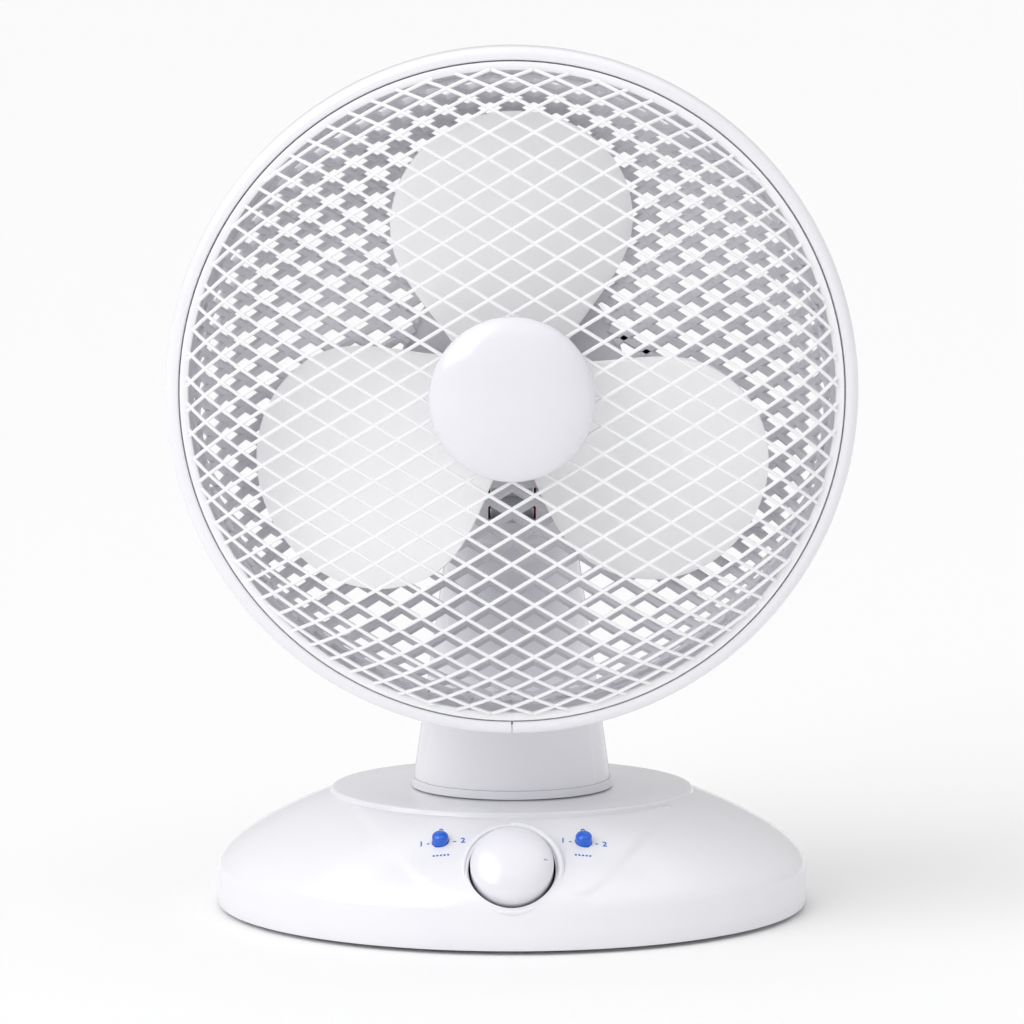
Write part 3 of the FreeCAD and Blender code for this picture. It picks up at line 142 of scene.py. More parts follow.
def apply_modifier(piece, kind, **settings):
    """Add a modifier with its settings and apply it."""
    only(piece)
    modifier = piece.modifiers.new(kind.title(), kind)
    for key, setting in settings.items():
        setattr(modifier, key, setting)
    bpy.ops.object.modifier_apply(modifier=modifier.name)


def bevel_edges(piece, width, segments=2, angle=40):
    """Round the sharp edges, as a moulding tool leaves them."""
    apply_modifier(piece, "BEVEL", width=width * MM, segments=segments, limit_method="ANGLE",
                   angle_limit=math.radians(angle), harden_normals=False)


def cut_with(piece, cutter):
    """Cut one shape out of another and throw the cutter away. A cut that changes nothing stops the script."""
    before = len(piece.data.vertices)
    apply_modifier(piece, "BOOLEAN", object=cutter, operation="DIFFERENCE", solver="EXACT")
    print("cut", cutter.name, "from", piece.name, ":", before, "points, then", len(piece.data.vertices))
    if len(piece.data.vertices) == before or before < 8:
        raise RuntimeError(cutter.name + " cut nothing from " + piece.name)
    bpy.data.objects.remove(cutter)


def join(first, *others):
    """Join shapes into the first one."""
    only(first)
    for other in others:
        other.select_set(True)
    bpy.ops.object.join()
    return first


def put(piece, place):
    """Lay an upright shape into its place, and keep the place in the mesh."""
    only(piece)
    piece.matrix_world = place @ piece.matrix_world
    bpy.ops.object.transform_apply(location=True, rotation=True, scale=True)
    return piece


def settle(piece, body, slot, look, *nodes, angle=35):
    """Finish a piece: shade it, give it its finish, tie it to a body, and hide the nodes it stands for."""
    only(piece)
    bpy.ops.object.transform_apply(location=True, rotation=True, scale=True)
    bpy.ops.object.shade_smooth_by_angle(angle=math.radians(angle))
    piece.data.materials.clear()
    piece.data.materials.append(look)
    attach(piece, body)
    if nodes:
        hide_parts(*nodes)
    piece.data.calc_loop_triangles()
    print(piece.name, len(piece.data.loop_triangles), "triangles on", body)
    return piece


# %% [markdown]
# ## Turned shapes
# Caps, rims, knobs and hoops are round. Each is a point extruded along its half outline and then
# spun about its axis, which keeps the rings even and needs no clean-up but merging the seam.
# %% Turn an outline into a round shape
def turned(name, outline, steps=96, closed=False):
    """Spin an outline of (radius, height) in mm about the upright axis."""
    points = [Vector((r * MM, 0, h * MM)) for r, h in outline]
    if closed:
        points.append(points[0])
    clear()
    bpy.ops.mesh.primitive_plane_add(size=MM, location=(0, 0, 0))
    piece = named(name)
    bpy.ops.object.mode_set(mode="EDIT")
    bpy.ops.mesh.select_mode(type="VERT")
    bpy.ops.mesh.select_all(action="SELECT")
    bpy.ops.mesh.merge(type="CENTER")
    bpy.ops.transform.translate(value=points[0])
    for a, b in zip(points, points[1:]):
        bpy.ops.mesh.extrude_region_move(TRANSFORM_OT_translate={"value": b - a})
    bpy.ops.mesh.select_all(action="SELECT")
    bpy.ops.mesh.spin(steps=steps, angle=math.tau, center=(0, 0, 0), axis=(0, 0, 1))
    bpy.ops.mesh.select_all(action="SELECT")
    bpy.ops.mesh.remove_doubles(threshold=0.00001)
    bpy.ops.mesh.normals_make_consistent(inside=False)
    bpy.ops.object.mode_set(mode="OBJECT")
    if len(piece.data.polygons) < steps * (len(outline) - 1):
        raise RuntimeError(name + " was not turned: " + str(len(piece.data.polygons)) + " faces")
    return piece


def arc(centre, radii, first, last, steps=8):
    """Points on an elliptical arc of an outline, between two angles in degrees."""
    turns = [math.radians(first + (last - first) * i / steps) for i in range(steps + 1)]
    return [(centre[0] + radii[0] * math.cos(t), centre[1] + radii[1] * math.sin(t)) for t in turns]


# %% [markdown]
# ## Finishes
# A finish starts from what the real surface is and how it was made. Moulded plastic is never quite
# flat: it has a faint orange peel, its gloss wanders a little, and the colour shifts by a hair.
# Those three are what make white plastic read as plastic, so each finish is built from them.
# %% Colours and nodes
def colour(code):
    """Turn an sRGB hex code into the linear colour that a shader wants."""
    parts = [int(code[i:i + 2], 16) / 255 for i in (0, 2, 4)]
    linear = [c / 12.92 if c <= 0.04045 else ((c + 0.055) / 1.055) ** 2.4 for c in parts]
    return (*linear, 1.0)


def node(tree, kind, links=(), **settings):
    """Add a node, set its inputs or properties by name, and link other outputs into it."""
    added = tree.nodes.new(kind)
    for key, setting in settings.items():
        label = key.replace("_", " ")
        if hasattr(added, key):
            setattr(added, key, setting)
        else:
            added.inputs[label].default_value = setting
    for output, socket in links:
        tree.links.new(output, added.inputs[socket])
    return added


def moulded(name, light, dark, rough, grain_mm, peel, speck=0.06, metal=0.0, coat=0.0, ior=1.5):
    """A finish with a slow drift of colour, a gloss that wanders, and a fine surface relief."""
    look = bpy.data.materials.new(name)
    look.use_nodes = True
    tree = look.node_tree
    shader = tree.nodes["Principled BSDF"]
    shader.inputs["Metallic"].default_value = metal
    shader.inputs["Coat Weight"].default_value = coat
    shader.inputs["Coat Roughness"].default_value = 0.08
    if not metal:
        shader.inputs["IOR"].default_value = ior
    place = node(tree, "ShaderNodeTexCoord").outputs["Object"]
    drift = node(tree, "ShaderNodeTexNoise", [(place, "Vector")], Scale=1 / (45 * MM), Detail=3.0)
    grain = node(tree, "ShaderNodeTexNoise", [(place, "Vector")], Scale=1 / (grain_mm * MM), Detail=4.0)
    ramp = node(tree, "ShaderNodeValToRGB", [(drift.outputs["Fac"], "Fac")])
    ramp.color_ramp.elements[0].position, ramp.color_ramp.elements[1].position = 0.3, 0.7
    ramp.color_ramp.elements[0].color = colour(dark)
    ramp.color_ramp.elements[1].color = colour(light)
    tree.links.new(ramp.outputs["Color"], shader.inputs["Base Color"])
    gloss = node(tree, "ShaderNodeMapRange", [(grain.outputs["Fac"], "Value")])
    gloss.inputs["To Min"].default_value = rough * (1 - speck * 2)
    gloss.inputs["To Max"].default_value = rough * (1 + speck * 2)
    tree.links.new(gloss.outputs["Result"], shader.inputs["Roughness"])
    relief = node(tree, "ShaderNodeBump", [(grain.outputs["Fac"], "Height")])
    relief.inputs["Strength"].default_value = peel
    relief.inputs["Distance"].default_value = 0.05 * MM
    tree.links.new(relief.outputs["Normal"], shader.inputs["Normal"])
    return look


# %% The finishes of this fan
# Gloss ABS from a polished tool: clear highlights, softened by a faint orange peel about 1 mm wide.
gloss_white = moulded("abs_moulded_gloss_white", "efeff3", "ececf1", 0.2, 1.2, 0.10, coat=0.25)
# The cap on the guard's middle is glossier and a touch cooler.
cap_white = moulded("abs_moulded_gloss_cap", "e9e8ee", "e6e5ec", 0.16, 1.4, 0.08, coat=0.35)
# Guard strands: polypropylene, thin and slightly milky, with a dull skin.
strand_white = moulded("pp_moulded_guard_white", "f6f6f8", "f2f2f5", 0.42, 0.6, 0.20)
# The rear guard is the same white plastic with a rougher, unpolished skin; its grey colour is painted shade,
# for the shade that falls inside the guard behind the blades.
rear_guard_painted_shade = moulded("pp_guard_rear_painted_shade", "dad9de", "cfced4", 0.5, 0.6, 0.25)
# Blades: polypropylene with a matte, finely sparked surface that keeps highlights off.
blade_white = moulded("pp_moulded_matte_blade", "ffffff", "fcfbfd", 0.55, 0.5, 0.35)
# Blue buttons: coloured right through, and polished.
button_blue = moulded("abs_moulded_gloss_blue", "0a66e0", "0859cc", 0.12, 0.8, 0.06, coat=0.5)
# Printed marks: pad-printed ink, which is thinner and duller than the plastic below it.
ink_blue = moulded("ink_pad_printed_blue", "2a6fd0", "2465c4", 0.5, 0.3, 0.10)
rubber = moulded("rubber_moulded_black", "1d1d1f", "151517", 0.8, 0.4, 0.6)
zinc = moulded("steel_zinc_plated", "c9ccd0", "b7babf", 0.32, 0.3, 0.15, metal=1.0)
cast = moulded("iron_cast_grey", "4a4a4c", "3a3a3c", 0.7, 0.7, 0.9, metal=0.8)
black_nylon = moulded("nylon_moulded_black", "26262a", "1e1e21", 0.5, 0.5, 0.3)
acetal = moulded("acetal_moulded_natural", "efece2", "e9e5d9", 0.38, 0.6, 0.12)
board = moulded("board_laminate_green", "1f6b3c", "1a5d34", 0.45, 0.4, 0.2)
alloy = moulded("aluminium_die_cast", "b4b6b9", "a3a5a8", 0.45, 0.5, 0.5, metal=1.0)
lamination = moulded("steel_silicon_laminated", "6f7276", "5f6266", 0.4, 0.35, 0.5, metal=1.0)
copper = moulded("copper_enamelled_wire", "b4622f", "9c5226", 0.3, 0.45, 0.6, metal=1.0)
bronze = moulded("bronze_sintered", "8a6a3a", "7a5d32", 0.5, 0.25, 0.6, metal=1.0)
ground = moulded("steel_ground_bright", "d2d4d7", "c2c4c7", 0.22, 0.25, 0.1, metal=1.0)
fibre = moulded("fibre_pressed_red", "8e3b2c", "7f3427", 0.75, 0.4, 0.5)

SLOT_LOOKS = {
    "white_gloss_abs": gloss_white, "white_satin_pp": strand_white, "blue_gloss_abs": button_blue,
    "black_rubber": rubber, "zinc_steel": zinc, "cast_weight": cast, "black_plastic": black_nylon,
    "natural_acetal": acetal, "green_board": board, "alloy": alloy, "lamination_steel": lamination,
    "copper_winding": copper, "sintered_bronze": bronze, "ground_steel": ground, "fibre": fibre,
}
print(len(SLOT_LOOKS), "finishes")

# %% [markdown]
# ## Finishes on the solid nodes
# Every solid node takes the finish of its material slot first. The ones that are remodelled
# below are hidden then, and the rest are seen through the guard, from behind or from under.
# %% Dress the solid nodes
for entry in frame["record"]["subparts"]:
    solid = frame["nodes"][entry["node"]]
    solid.data.materials.clear()
    solid.data.materials.append(SLOT_LOOKS[entry["material_slot"]])

# %% [markdown]
# ## Crossed strands
# Both guards are moulded as two sets of slanting strands that cross in diamonds. One set is drawn
# flat as straight chords of a circle, mirrored for the other set, and laid over the guard's curve.
# A line has no thickness, so it becomes a curve with a round bevel, and then a mesh again. That
# gives round strands that end exactly at the rim, which a wireframe of a grid would not.
# %% Lay strands over a curved guard
CELL_WIDTH, CELL_HEIGHT = 18.4, 11.3
SLOPE = math.atan2(CELL_HEIGHT, CELL_WIDTH)
STRAND_GAP = CELL_WIDTH * CELL_HEIGHT / math.hypot(CELL_WIDTH, CELL_HEIGHT)


def chords(reach, hole, slope):
    """Ends of the straight strands of one set, cut short at the hole in the middle."""
    along = Vector((math.cos(slope), math.sin(slope), 0))
    across = Vector((-along.y, along.x, 0))
    half = int(reach / STRAND_GAP)
    for row in range(-half, half + 1):
        off = row * STRAND_GAP
        out = math.sqrt(max(reach * reach - off * off, 0))
        gap = math.sqrt(hole * hole - off * off) if abs(off) < hole else 0
        spans = [(-out, -gap), (gap, out)] if gap else [(-out, out)]
        for first, last in spans:
            if last - first > STRAND_GAP / 2:
                yield across * off + along * first, across * off + along * last


def guard_strands(name, reach, hole, wrap, thickness):
    """Both sets of strands, wrapped by a rule from flat place to (radius, ahead)."""
    clear()
    bpy.ops.mesh.primitive_plane_add(size=MM)
    piece = named(name)
    bpy.ops.object.mode_set(mode="EDIT")
    bpy.ops.mesh.select_mode(type="VERT")
    bpy.ops.mesh.select_all(action="SELECT")
    bpy.ops.mesh.delete(type="VERT")
    for slope in (SLOPE, -SLOPE):
        for first, last in chords(reach, hole, slope):
            bpy.ops.mesh.primitive_plane_add(size=MM, location=first * MM)
            bpy.ops.mesh.merge(type="CENTER")
            bpy.ops.mesh.extrude_region_move(TRANSFORM_OT_translate={"value": (last - first) * MM})
            bpy.ops.mesh.select_linked()
            bpy.ops.mesh.subdivide(number_cuts=max(2, int((last - first).length / 7)))
            bpy.ops.mesh.select_all(action="DESELECT")
    bpy.ops.object.mode_set(mode="OBJECT")

    def laid(flat):
        """Where a flat point of a strand lies on the guard."""
        distance = math.hypot(flat.x, flat.y)
        radius, at = wrap(distance / MM)
        turn = math.atan2(flat.y, flat.x)
        return Vector((radius * math.cos(turn), radius * math.sin(turn), at)) * MM

    move_points(piece, laid)
    only(piece)
    bpy.ops.object.convert(target="CURVE")
    piece = bpy.context.object
    piece.data.bevel_depth = thickness / 2 * MM
    piece.data.bevel_resolution = 1
    piece.data.use_fill_caps = True
    bpy.ops.object.convert(target="MESH")
    piece = named(name)
    bpy.ops.object.mode_set(mode="EDIT")
    bpy.ops.mesh.select_all(action="SELECT")
    bpy.ops.mesh.remove_doubles(threshold=0.00001)
    bpy.ops.object.mode_set(mode="OBJECT")
    return piece


# %% [markdown]
# ## Front guard
# The grille bulges gently forward. Seen from the front its diamonds stay even near the middle and
# close up towards the rim, because the surface turns away there. A solid flat rim carries the
# strand ends, and a thin flange behind it is what the hoop grips.
# %% Front guard
RIM_RADIUS = 131.2
EVEN_TO = 80.0
FOLD = 60.0
FRONT_REACH = EVEN_TO + FOLD * math.asin((RIM_RADIUS - EVEN_TO) / FOLD)
MESH_STRAND = 1.5


def front_bulge(radius):
    """How far ahead the grille's middle surface lies at a radius."""
    return 144.6 + 14.5 * math.sqrt(max(0.0, 1 - (radius / 133.0) ** 2.6))


def front_wrap(distance):
    """Fold the flat strands over the bulge."""
    over = max(0.0, distance - EVEN_TO)
    radius = min(distance, EVEN_TO) + FOLD * math.sin(over / FOLD)
    return radius, front_bulge(radius)


front_mesh = guard_strands("front_mesh", FRONT_REACH, 31.0, front_wrap, MESH_STRAND)
front_rim = turned("front_rim", [(130.6, 146.7), (134.1, 146.7), (134.1, 142.4), (136.6, 142.4),
                                 (136.6, 139.1), (132.6, 139.1), (132.6, 144.2), (130.6, 144.2)],
                   steps=144, closed=True)
bevel_edges(front_rim, 0.4)
front_disc = turned("front_disc", [(0.02, 160.2), (31.5, 160.2), (33.0, 159.4), (33.0, 157.6),
                                   (31.0, 157.0), (0.02, 157.0)], steps=72, closed=True)
front_grille = put(join(front_mesh, front_rim, front_disc), HEAD)
front_grille.name = "front_grille"
settle(front_grille, "head", "white_satin_pp", strand_white, "front_guard", angle=50)

# %% [markdown]
# ## Rear guard
# The rear guard is a deep dish of the same strands: flat behind the blades, and turning forward
# in a wide round to its rim. A solid disc in its middle is clamped to the motor's collar.
# %% Rear guard
DISH_FLAT, DISH_ROUND, DISH_BACK = 94.0, 35.0, 98.1


def rear_wrap(distance):
    """Lay the flat strands into the dish: flat, then round the corner, then straight forward."""
    over = max(0.0, distance - DISH_FLAT)
    turn = min(over / DISH_ROUND, math.pi / 2)
    rest = max(0.0, over - DISH_ROUND * math.pi / 2)
    radius = min(distance, DISH_FLAT) + DISH_ROUND * math.sin(turn)
    return radius, DISH_BACK + DISH_ROUND * (1 - math.cos(turn)) + rest


REAR_REACH = DISH_FLAT + DISH_ROUND * math.pi / 2 + 1.5
rear_mesh = guard_strands("rear_mesh", REAR_REACH, 45.0, rear_wrap, 3.9)
rear_disc = turned("rear_disc", [(14.6, 96.3), (46.0, 96.3), (46.6, 97.0), (46.0, 98.1), (14.6, 98.1)],
                   steps=72, closed=True)
rear_rim = turned("rear_rim", [(129.0, 134.0), (131.4, 133.6), (133.0, 134.6), (136.6, 135.3),
                               (136.6, 138.6), (129.0, 138.6)], steps=144, closed=True)
rear_grille = put(join(rear_mesh, rear_disc, rear_rim), HEAD)
rear_grille.name = "rear_grille"
# The rear grille takes the grey finish, whose colour is painted shade.
settle(rear_grille, "head", "white_satin_pp", rear_guard_painted_shade, "rear_guard", angle=50)

# %% [markdown]
# ## Cap on the guard's middle
# A glossy shallow dome with a soft edge hides the middle of the grille. Its highlight is the
# brightest thing on the fan, so the dome is a true ellipse with many rings.
# %% Hub cap
cap_dome = [(33.4 * math.cos(math.radians(a)), 163.5 + 9.5 * math.sin(math.radians(a)))
            for a in range(0, 90, 5)]
hub_cover = turned("hub_cover", [(0.02, 160.6), (32.4, 160.6), (33.4, 161.6)] + cap_dome
                   + [(0.02, 173.0)], steps=128, closed=True)
put(hub_cover, HEAD)
settle(hub_cover, "head", "white_gloss_abs", cap_white, "hub_cap", angle=60)

# %% [markdown]
# ## Hoop
# A rounded hoop clamps the two guards together. Its front edge curls over the rim and leaves a
# thin dark seam inside it. It is split at the bottom, where a screw draws its two ends together.
# %% Clamping hoop
hoop_outline = [(134.7, 145.6), (135.3, 146.1)]
hoop_outline += arc((136.0, 142.2), (4.0, 3.9), 80, 0, 8)
hoop_outline += [(140.0, 135.0)] + arc((137.6, 134.0), (2.4, 2.4), 0, -90, 5)
hoop_outline += [(137.0, 131.6), (137.0, 133.6), (138.2, 135.0), (138.2, 142.0), (137.4, 143.6),
                 (134.7, 144.2)]
clamp_hoop = turned("clamp_hoop", hoop_outline, steps=180, closed=True)
put(clamp_hoop, HEAD)
clear()
bpy.ops.mesh.primitive_cube_add(size=1, location=(0, ahead(139), AXIS_Z - 138 * MM),
                                scale=(0.8 * MM, 30 * MM, 12 * MM))
split_cutter = named("split_cutter")
cut_with(clamp_hoop, split_cutter)
screw_low, screw_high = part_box("ring_screw")
for side in (-1, 1):
    clear()
    bpy.ops.mesh.primitive_cube_add(size=1, scale=(5 * MM, 9 * MM, 8 * MM), location=(
        side * 3.1 * MM, ahead(133.5), (screw_low.z + screw_high.z) / 2 + 0.6 * MM))
    ear = named("hoop_ear")
    bpy.ops.object.transform_apply(location=True, rotation=True, scale=True)
    bevel_edges(ear, 0.8, 3)
    join(clamp_hoop, ear)
settle(clamp_hoop, "head", "white_gloss_abs", gloss_white, "guard_ring", angle=30)

# %% [markdown]
# ## Blades
# Three petals grow from one hub, each narrow at its root, round at its tip and pitched like a
# propeller: steep by the hub and flatter outside. A flat grid is pulled to the petal's outline,
# twisted, thickened and copied twice, so all three are the same moulding.
# %% Fan blades
ROOT_RADIUS, TIP_CENTRE, LOBE = 12.0, 65.0, 47.4
LOBE_HALF = 52.0
ROOT_PITCH, PITCH_LOSS = 27.0, 14.0
BLADE_PLANE = 122.0


def petal_place(flat):
    """Pull a unit grid to the petal: across, along the radius, and ahead along the axis."""
    along = min(1.0, max(0.0, flat.y / MM + 0.5))
    knee = 0.42
    if along < knee:
        radius = ROOT_RADIUS + (TIP_CENTRE - ROOT_RADIUS) * along / knee
        rise = max(0.0, math.sin(math.pi / 2 * along / knee))
        half = 23.0 + (LOBE_HALF - 23.0) * rise ** 1.35
    else:
        turn = math.pi / 2 * (along - knee) / (1 - knee)
        radius = TIP_CENTRE + LOBE * math.sin(turn)
        half = LOBE_HALF * math.cos(turn)
    across = flat.x / MM * 2 * half
    outward = (radius - ROOT_RADIUS) / (TIP_CENTRE + LOBE - ROOT_RADIUS)
    pitch = math.radians(ROOT_PITCH - PITCH_LOSS * outward)
    camber = 2.2 * (1 - (across / LOBE_HALF) ** 2) * min(1.0, radius / 40)
    lie = BLADE_PLANE - 1 - across * math.sin(pitch) + camber
    return Vector((across * math.cos(pitch), radius, lie)) * MM


clear()
bpy.ops.mesh.primitive_grid_add(x_subdivisions=22, y_subdivisions=40, size=MM)
petal = named("petal")
move_points(petal, petal_place)
bpy.ops.object.mode_set(mode="EDIT")
bpy.ops.mesh.select_all(action="SELECT")
bpy.ops.mesh.remove_doubles(threshold=0.00002)
bpy.ops.mesh.normals_make_consistent(inside=False)
bpy.ops.object.mode_set(mode="OBJECT")
apply_modifier(petal, "SOLIDIFY", thickness=1.8 * MM, offset=0)
bevel_edges(petal, 0.5, 2, angle=60)
petals = [petal]
for turn in (120, 240):
    only(petal)
    bpy.ops.object.duplicate()
    copy = bpy.context.object
    copy.rotation_euler.z = math.radians(turn)
    bpy.ops.object.transform_apply(location=True, rotation=True, scale=True)
    petals.append(copy)
hub = turned("blade_hub", [(4.3, 113.2), (15.0, 113.2), (19.0, 115.0), (19.0, 127.5)]
             + arc((15.5, 127.5), (3.5, 3.4), 0, 90, 5)[1:] + [(4.3, 130.9)], steps=64, closed=True)
blades = put(join(hub, *petals), HEAD)
blades.name = "petal_blades"
settle(blades, "rotor", "white_satin_pp", blade_white, "fan_blades", angle=40)

# %% [markdown]
# ## Stacked ovals
# The base and the neck are ovals that change size as they rise. One oval is drawn, and its edge
# is extruded up and resized level by level, which keeps the walls smooth and the points in rows.
# %% Raise an oval through levels
def stacked(name, levels, segments=192):
    """Extrude an oval through levels of (half width, half depth, height) in mm, and close both ends."""
    clear()
    width, depth, height = levels[0]
    bpy.ops.mesh.primitive_circle_add(vertices=segments, radius=MM, fill_type="NGON")
    piece = named(name)
    bpy.ops.object.mode_set(mode="EDIT")
    bpy.ops.mesh.select_all(action="SELECT")
    bpy.ops.transform.resize(value=(width, depth, 1), center_override=(0, 0, 0))
    bpy.ops.transform.translate(value=(0, 0, height * MM))
    for wide, deep, high in levels[1:]:
        bpy.ops.mesh.extrude_region_move(TRANSFORM_OT_translate={"value": (0, 0, (high - height) * MM)})
        bpy.ops.transform.resize(value=(wide / width, deep / depth, 1), center_override=(0, 0, high * MM))
        width, depth, height = wide, deep, high
    bpy.ops.mesh.select_all(action="SELECT")
    bpy.ops.mesh.normals_make_consistent(inside=False)
    bpy.ops.object.mode_set(mode="OBJECT")
    return piece


def hollowed(piece, wall, unwanted):
    """Remove the faces that only closed a shape for cutting, and give what is left a wall inwards."""
    only(piece)
    bpy.ops.object.mode_set(mode="EDIT")
    removed = pick(piece, "FACE", unwanted)
    bpy.ops.mesh.delete(type="FACE")
    bpy.ops.object.mode_set(mode="OBJECT")
    apply_modifier(piece, "SOLIDIFY", thickness=wall * MM, offset=-1)
    print(piece.name, "opened by removing", removed, "faces, wall", wall, "mm")
    return piece


# %% [markdown]
# ## Base casing
# An upright skirt, a soft shoulder and a low dome rise to a flat oval deck under the neck. Two
# shallow creases run from the deck's sides down to the knob and frame a slightly raised panel.
# The creases are pressed in by moving points, because they must fade out softly at their ends.
# %% Base casing
BASE_HALF, DECK_HALF = (125.0, 98.5), (77.0, 58.0)
SKIRT_TOP, DOME_RISE, DOME_POWER = 18.0, 31.0, 1.6
DECK_TOP = 51.0
CREASE_HEIGHT, CREASE_WIDTH = 0.9, 2.2


def dome_half(t):
    """Half width and depth of the dome at a share of its rise."""
    share = 1 - t ** DOME_POWER
    return [d + (b - d) * share for b, d in zip(BASE_HALF, DECK_HALF)]


levels = [(122.6, 96.1, 1.6), (124.4, 97.9, 2.0), (125.0, 98.5, 3.2)]
levels += [(125.0, 98.5, 9.0), (125.0, 98.5, 15.0), (124.9, 98.4, 17.6)]
for step in range(1, 45):
    t = step / 44
    wide, deep = dome_half(t)
    levels.append((wide - 0.2, deep - 0.2, SKIRT_TOP + DOME_RISE * t))
for turn in range(0, 91, 15):
    share = math.radians(turn)
    levels.append((76.4 - 1.4 * (1 - math.cos(share)), 57.4 - 1.4 * (1 - math.cos(share)),
                   DECK_TOP - 1.4 * (1 - math.sin(share))))
levels.append((60.0, 45.0, DECK_TOP))
base_casing = stacked("base_casing", levels, segments=288)


def crease_half(y):
    """Half the panel's width at a depth y in mm, from the deck's side to the knob."""
    share = min(1.0, max(0.0, (92.5 + y) / 92.5))
    return 28.0 + 50.0 * share ** 0.62


def pressed(point):
    """Raise the panel between the creases by a soft step."""
    x, y, z = (c / MM for c in point)
    if y > -8 or z < SKIRT_TOP + 1 or z > DECK_TOP - 2.2:
        return point
    inside = crease_half(y) - abs(x)
    step = min(1.0, max(0.0, inside / CREASE_WIDTH + 0.5))
    fade = min(1.0, (-8 - y) / 14.0) * min(1.0, (z - SKIRT_TOP - 1) / 7.0)
    lift = CREASE_HEIGHT * step * step * (3 - 2 * step) * fade
    outward = Vector((x / BASE_HALF[0] ** 2, y / BASE_HALF[1] ** 2, 0.012)).normalized()
    return point + outward * lift * MM


move_points(base_casing, pressed)
KNOB_WELL, BUTTON_WELL = 18.6, 3.6
knob_hole = turned("knob_hole", [(0.02, -12.0), (KNOB_WELL, -12.0), (KNOB_WELL, 14.0), (0.02, 14.0)],
                   96, closed=True)
cut_with(base_casing, put(knob_hole, KNOB))
BUTTONS = {}
for side in (-1, 1):
    BUTTONS[side] = (Matrix.Translation((side * BUTTON_X, BUTTON_Y, BUTTON_Z))
                     @ Matrix.Rotation(BUTTON_LEAN, 4, "X"))
    button_hole = turned("button_hole", [(0.02, -4.0), (BUTTON_WELL, -4.0), (BUTTON_WELL, 6.0), (0.02, 6.0)],
                         40, closed=True)
    cut_with(base_casing, put(button_hole, BUTTONS[side]))


def only_closing(middle):
    """Faces of the underside, and the walls and floors that the hole cutters left inside the dome."""
    if middle.z < 1.61 * MM:
        return True
    for place, radius, mouth in ((KNOB, KNOB_WELL - 0.01, -0.3), (BUTTONS[-1], BUTTON_WELL - 0.01, -1.2),
                                 (BUTTONS[1], BUTTON_WELL - 0.01, -1.2)):
        near = place.inverted() @ middle
        if math.hypot(near.x, near.y) < radius * MM and near.z < mouth * MM:
            return True
    return False


hollowed(base_casing, 2.4, only_closing)
surround = turned("knob_surround", [(17.9, -11.9), (17.9, -0.4), (18.3, 0.0), (20.9, 0.0), (21.5, -0.6),
                                    (21.5, -11.9)], 128, closed=True)
put(surround, KNOB)
settle(join(base_casing, surround), "base", "white_gloss_abs", gloss_white, "base_shell", angle=32)

# %% [markdown]
# ## Bezel round the knob
# A raised bead starts with a small step above the knob, runs round it and thins out. It is a
# torus whose thickness is drawn down by the angle, so the bead stays one smooth piece.
# %% Knob bezel
BEAD_CIRCLE, BEAD = 20.0, 1.7
clear()
bpy.ops.mesh.primitive_torus_add(major_segments=144, minor_segments=16, major_radius=BEAD_CIRCLE * MM,
                                 minor_radius=BEAD * MM)
bezel = named("knob_bezel")


def tapered(point):
    """Thin the bead clockwise, from just right of the top."""
    turn = math.atan2(point.y, point.x)
    round_share = ((math.pi / 2 - turn) % math.tau) / math.tau
    middle = Vector((math.cos(turn), math.sin(turn), 0)) * BEAD_CIRCLE * MM
    return middle + (point - middle) * (1.0 - 0.6 * round_share)


move_points(bezel, tapered)
settle(put(bezel, KNOB), "base", "white_gloss_abs", gloss_white, angle=60)

# %% [markdown]
# ## Knob and buttons
# The knob is a wide shallow dome with a short wall, and a fine mark near its right edge that
# shows how far it is turned. The buttons are small polished domes.
# %% Knob and buttons
knob_outline = [(0.02, -6.6), (16.4, -6.6), (17.1, -5.8), (17.1, 4.2)]
knob_outline += [(17.1 * math.cos(math.radians(a)), 4.2 + 6.8 * math.sin(math.radians(a)))
                 for a in range(6, 90, 6)]
turn_knob = turned("turn_knob", knob_outline + [(0.02, 11.0)], 96, closed=True)
clear()
bpy.ops.mesh.primitive_cube_add(size=1, location=(14.6 * MM, 0, 8.1 * MM),
                                scale=(3.2 * MM, 0.7 * MM, 2.0 * MM))
mark_cutter = named("mark_cutter")
cut_with(turn_knob, mark_cutter)
settle(put(turn_knob, KNOB), "knob", "white_gloss_abs", cap_white, "control_knob", angle=50)
for side, name, stands_for, body in ((-1, "left_dome", "oscillation_button", "left_button"),
                                     (1, "right_dome", "speed_button", "right_button")):
    dome = turned(name, [(0.02, -5.0), (3.4, -5.0), (3.4, 0.4)]
                  + [(3.4 * math.cos(math.radians(a)), 0.4 + 2.0 * math.sin(math.radians(a)))
                     for a in range(10, 90, 10)] + [(0.02, 2.4)], 40, closed=True)
    settle(put(dome, BUTTONS[side]), body, "blue_gloss_abs", button_blue, stands_for, angle=60)

# %% [markdown]
# ## Neck
# Two halves close round the post and taper upwards. The front one is a little proud of a narrow
# flat strip at each side, and that step is the only line on the neck.
# %% Neck casing
STRIP_SHARE, STRIP_STEP = 0.86, 1.0
neck_levels = []
for step in range(25):
    t = step / 24
    neck_levels.append((41.5 - 14.5 * t, 32.0 - 9.5 * t, 55.1 + 102.9 * t))
for turn in range(15, 91, 15):
    share = math.radians(turn)
    neck_levels.append((27.0 - 12 * (1 - math.cos(share)), 22.5 - 10 * (1 - math.cos(share)),
                        158 + 8 * math.sin(share)))
neck_casing = stacked("neck_casing", neck_levels, segments=224)


def stripped(point):
    """Sink the strip at each side of the neck."""
    x, y, z = (c / MM for c in point)
    t = min(1.0, max(0.0, (z - 55) / 103))
    half = 41.5 - 14.5 * t
    if abs(x) < STRIP_SHARE * half or z > 158:
        return point
    return Vector((x, y - math.copysign(STRIP_STEP, y) if abs(y) > 2 else y, z)) * MM


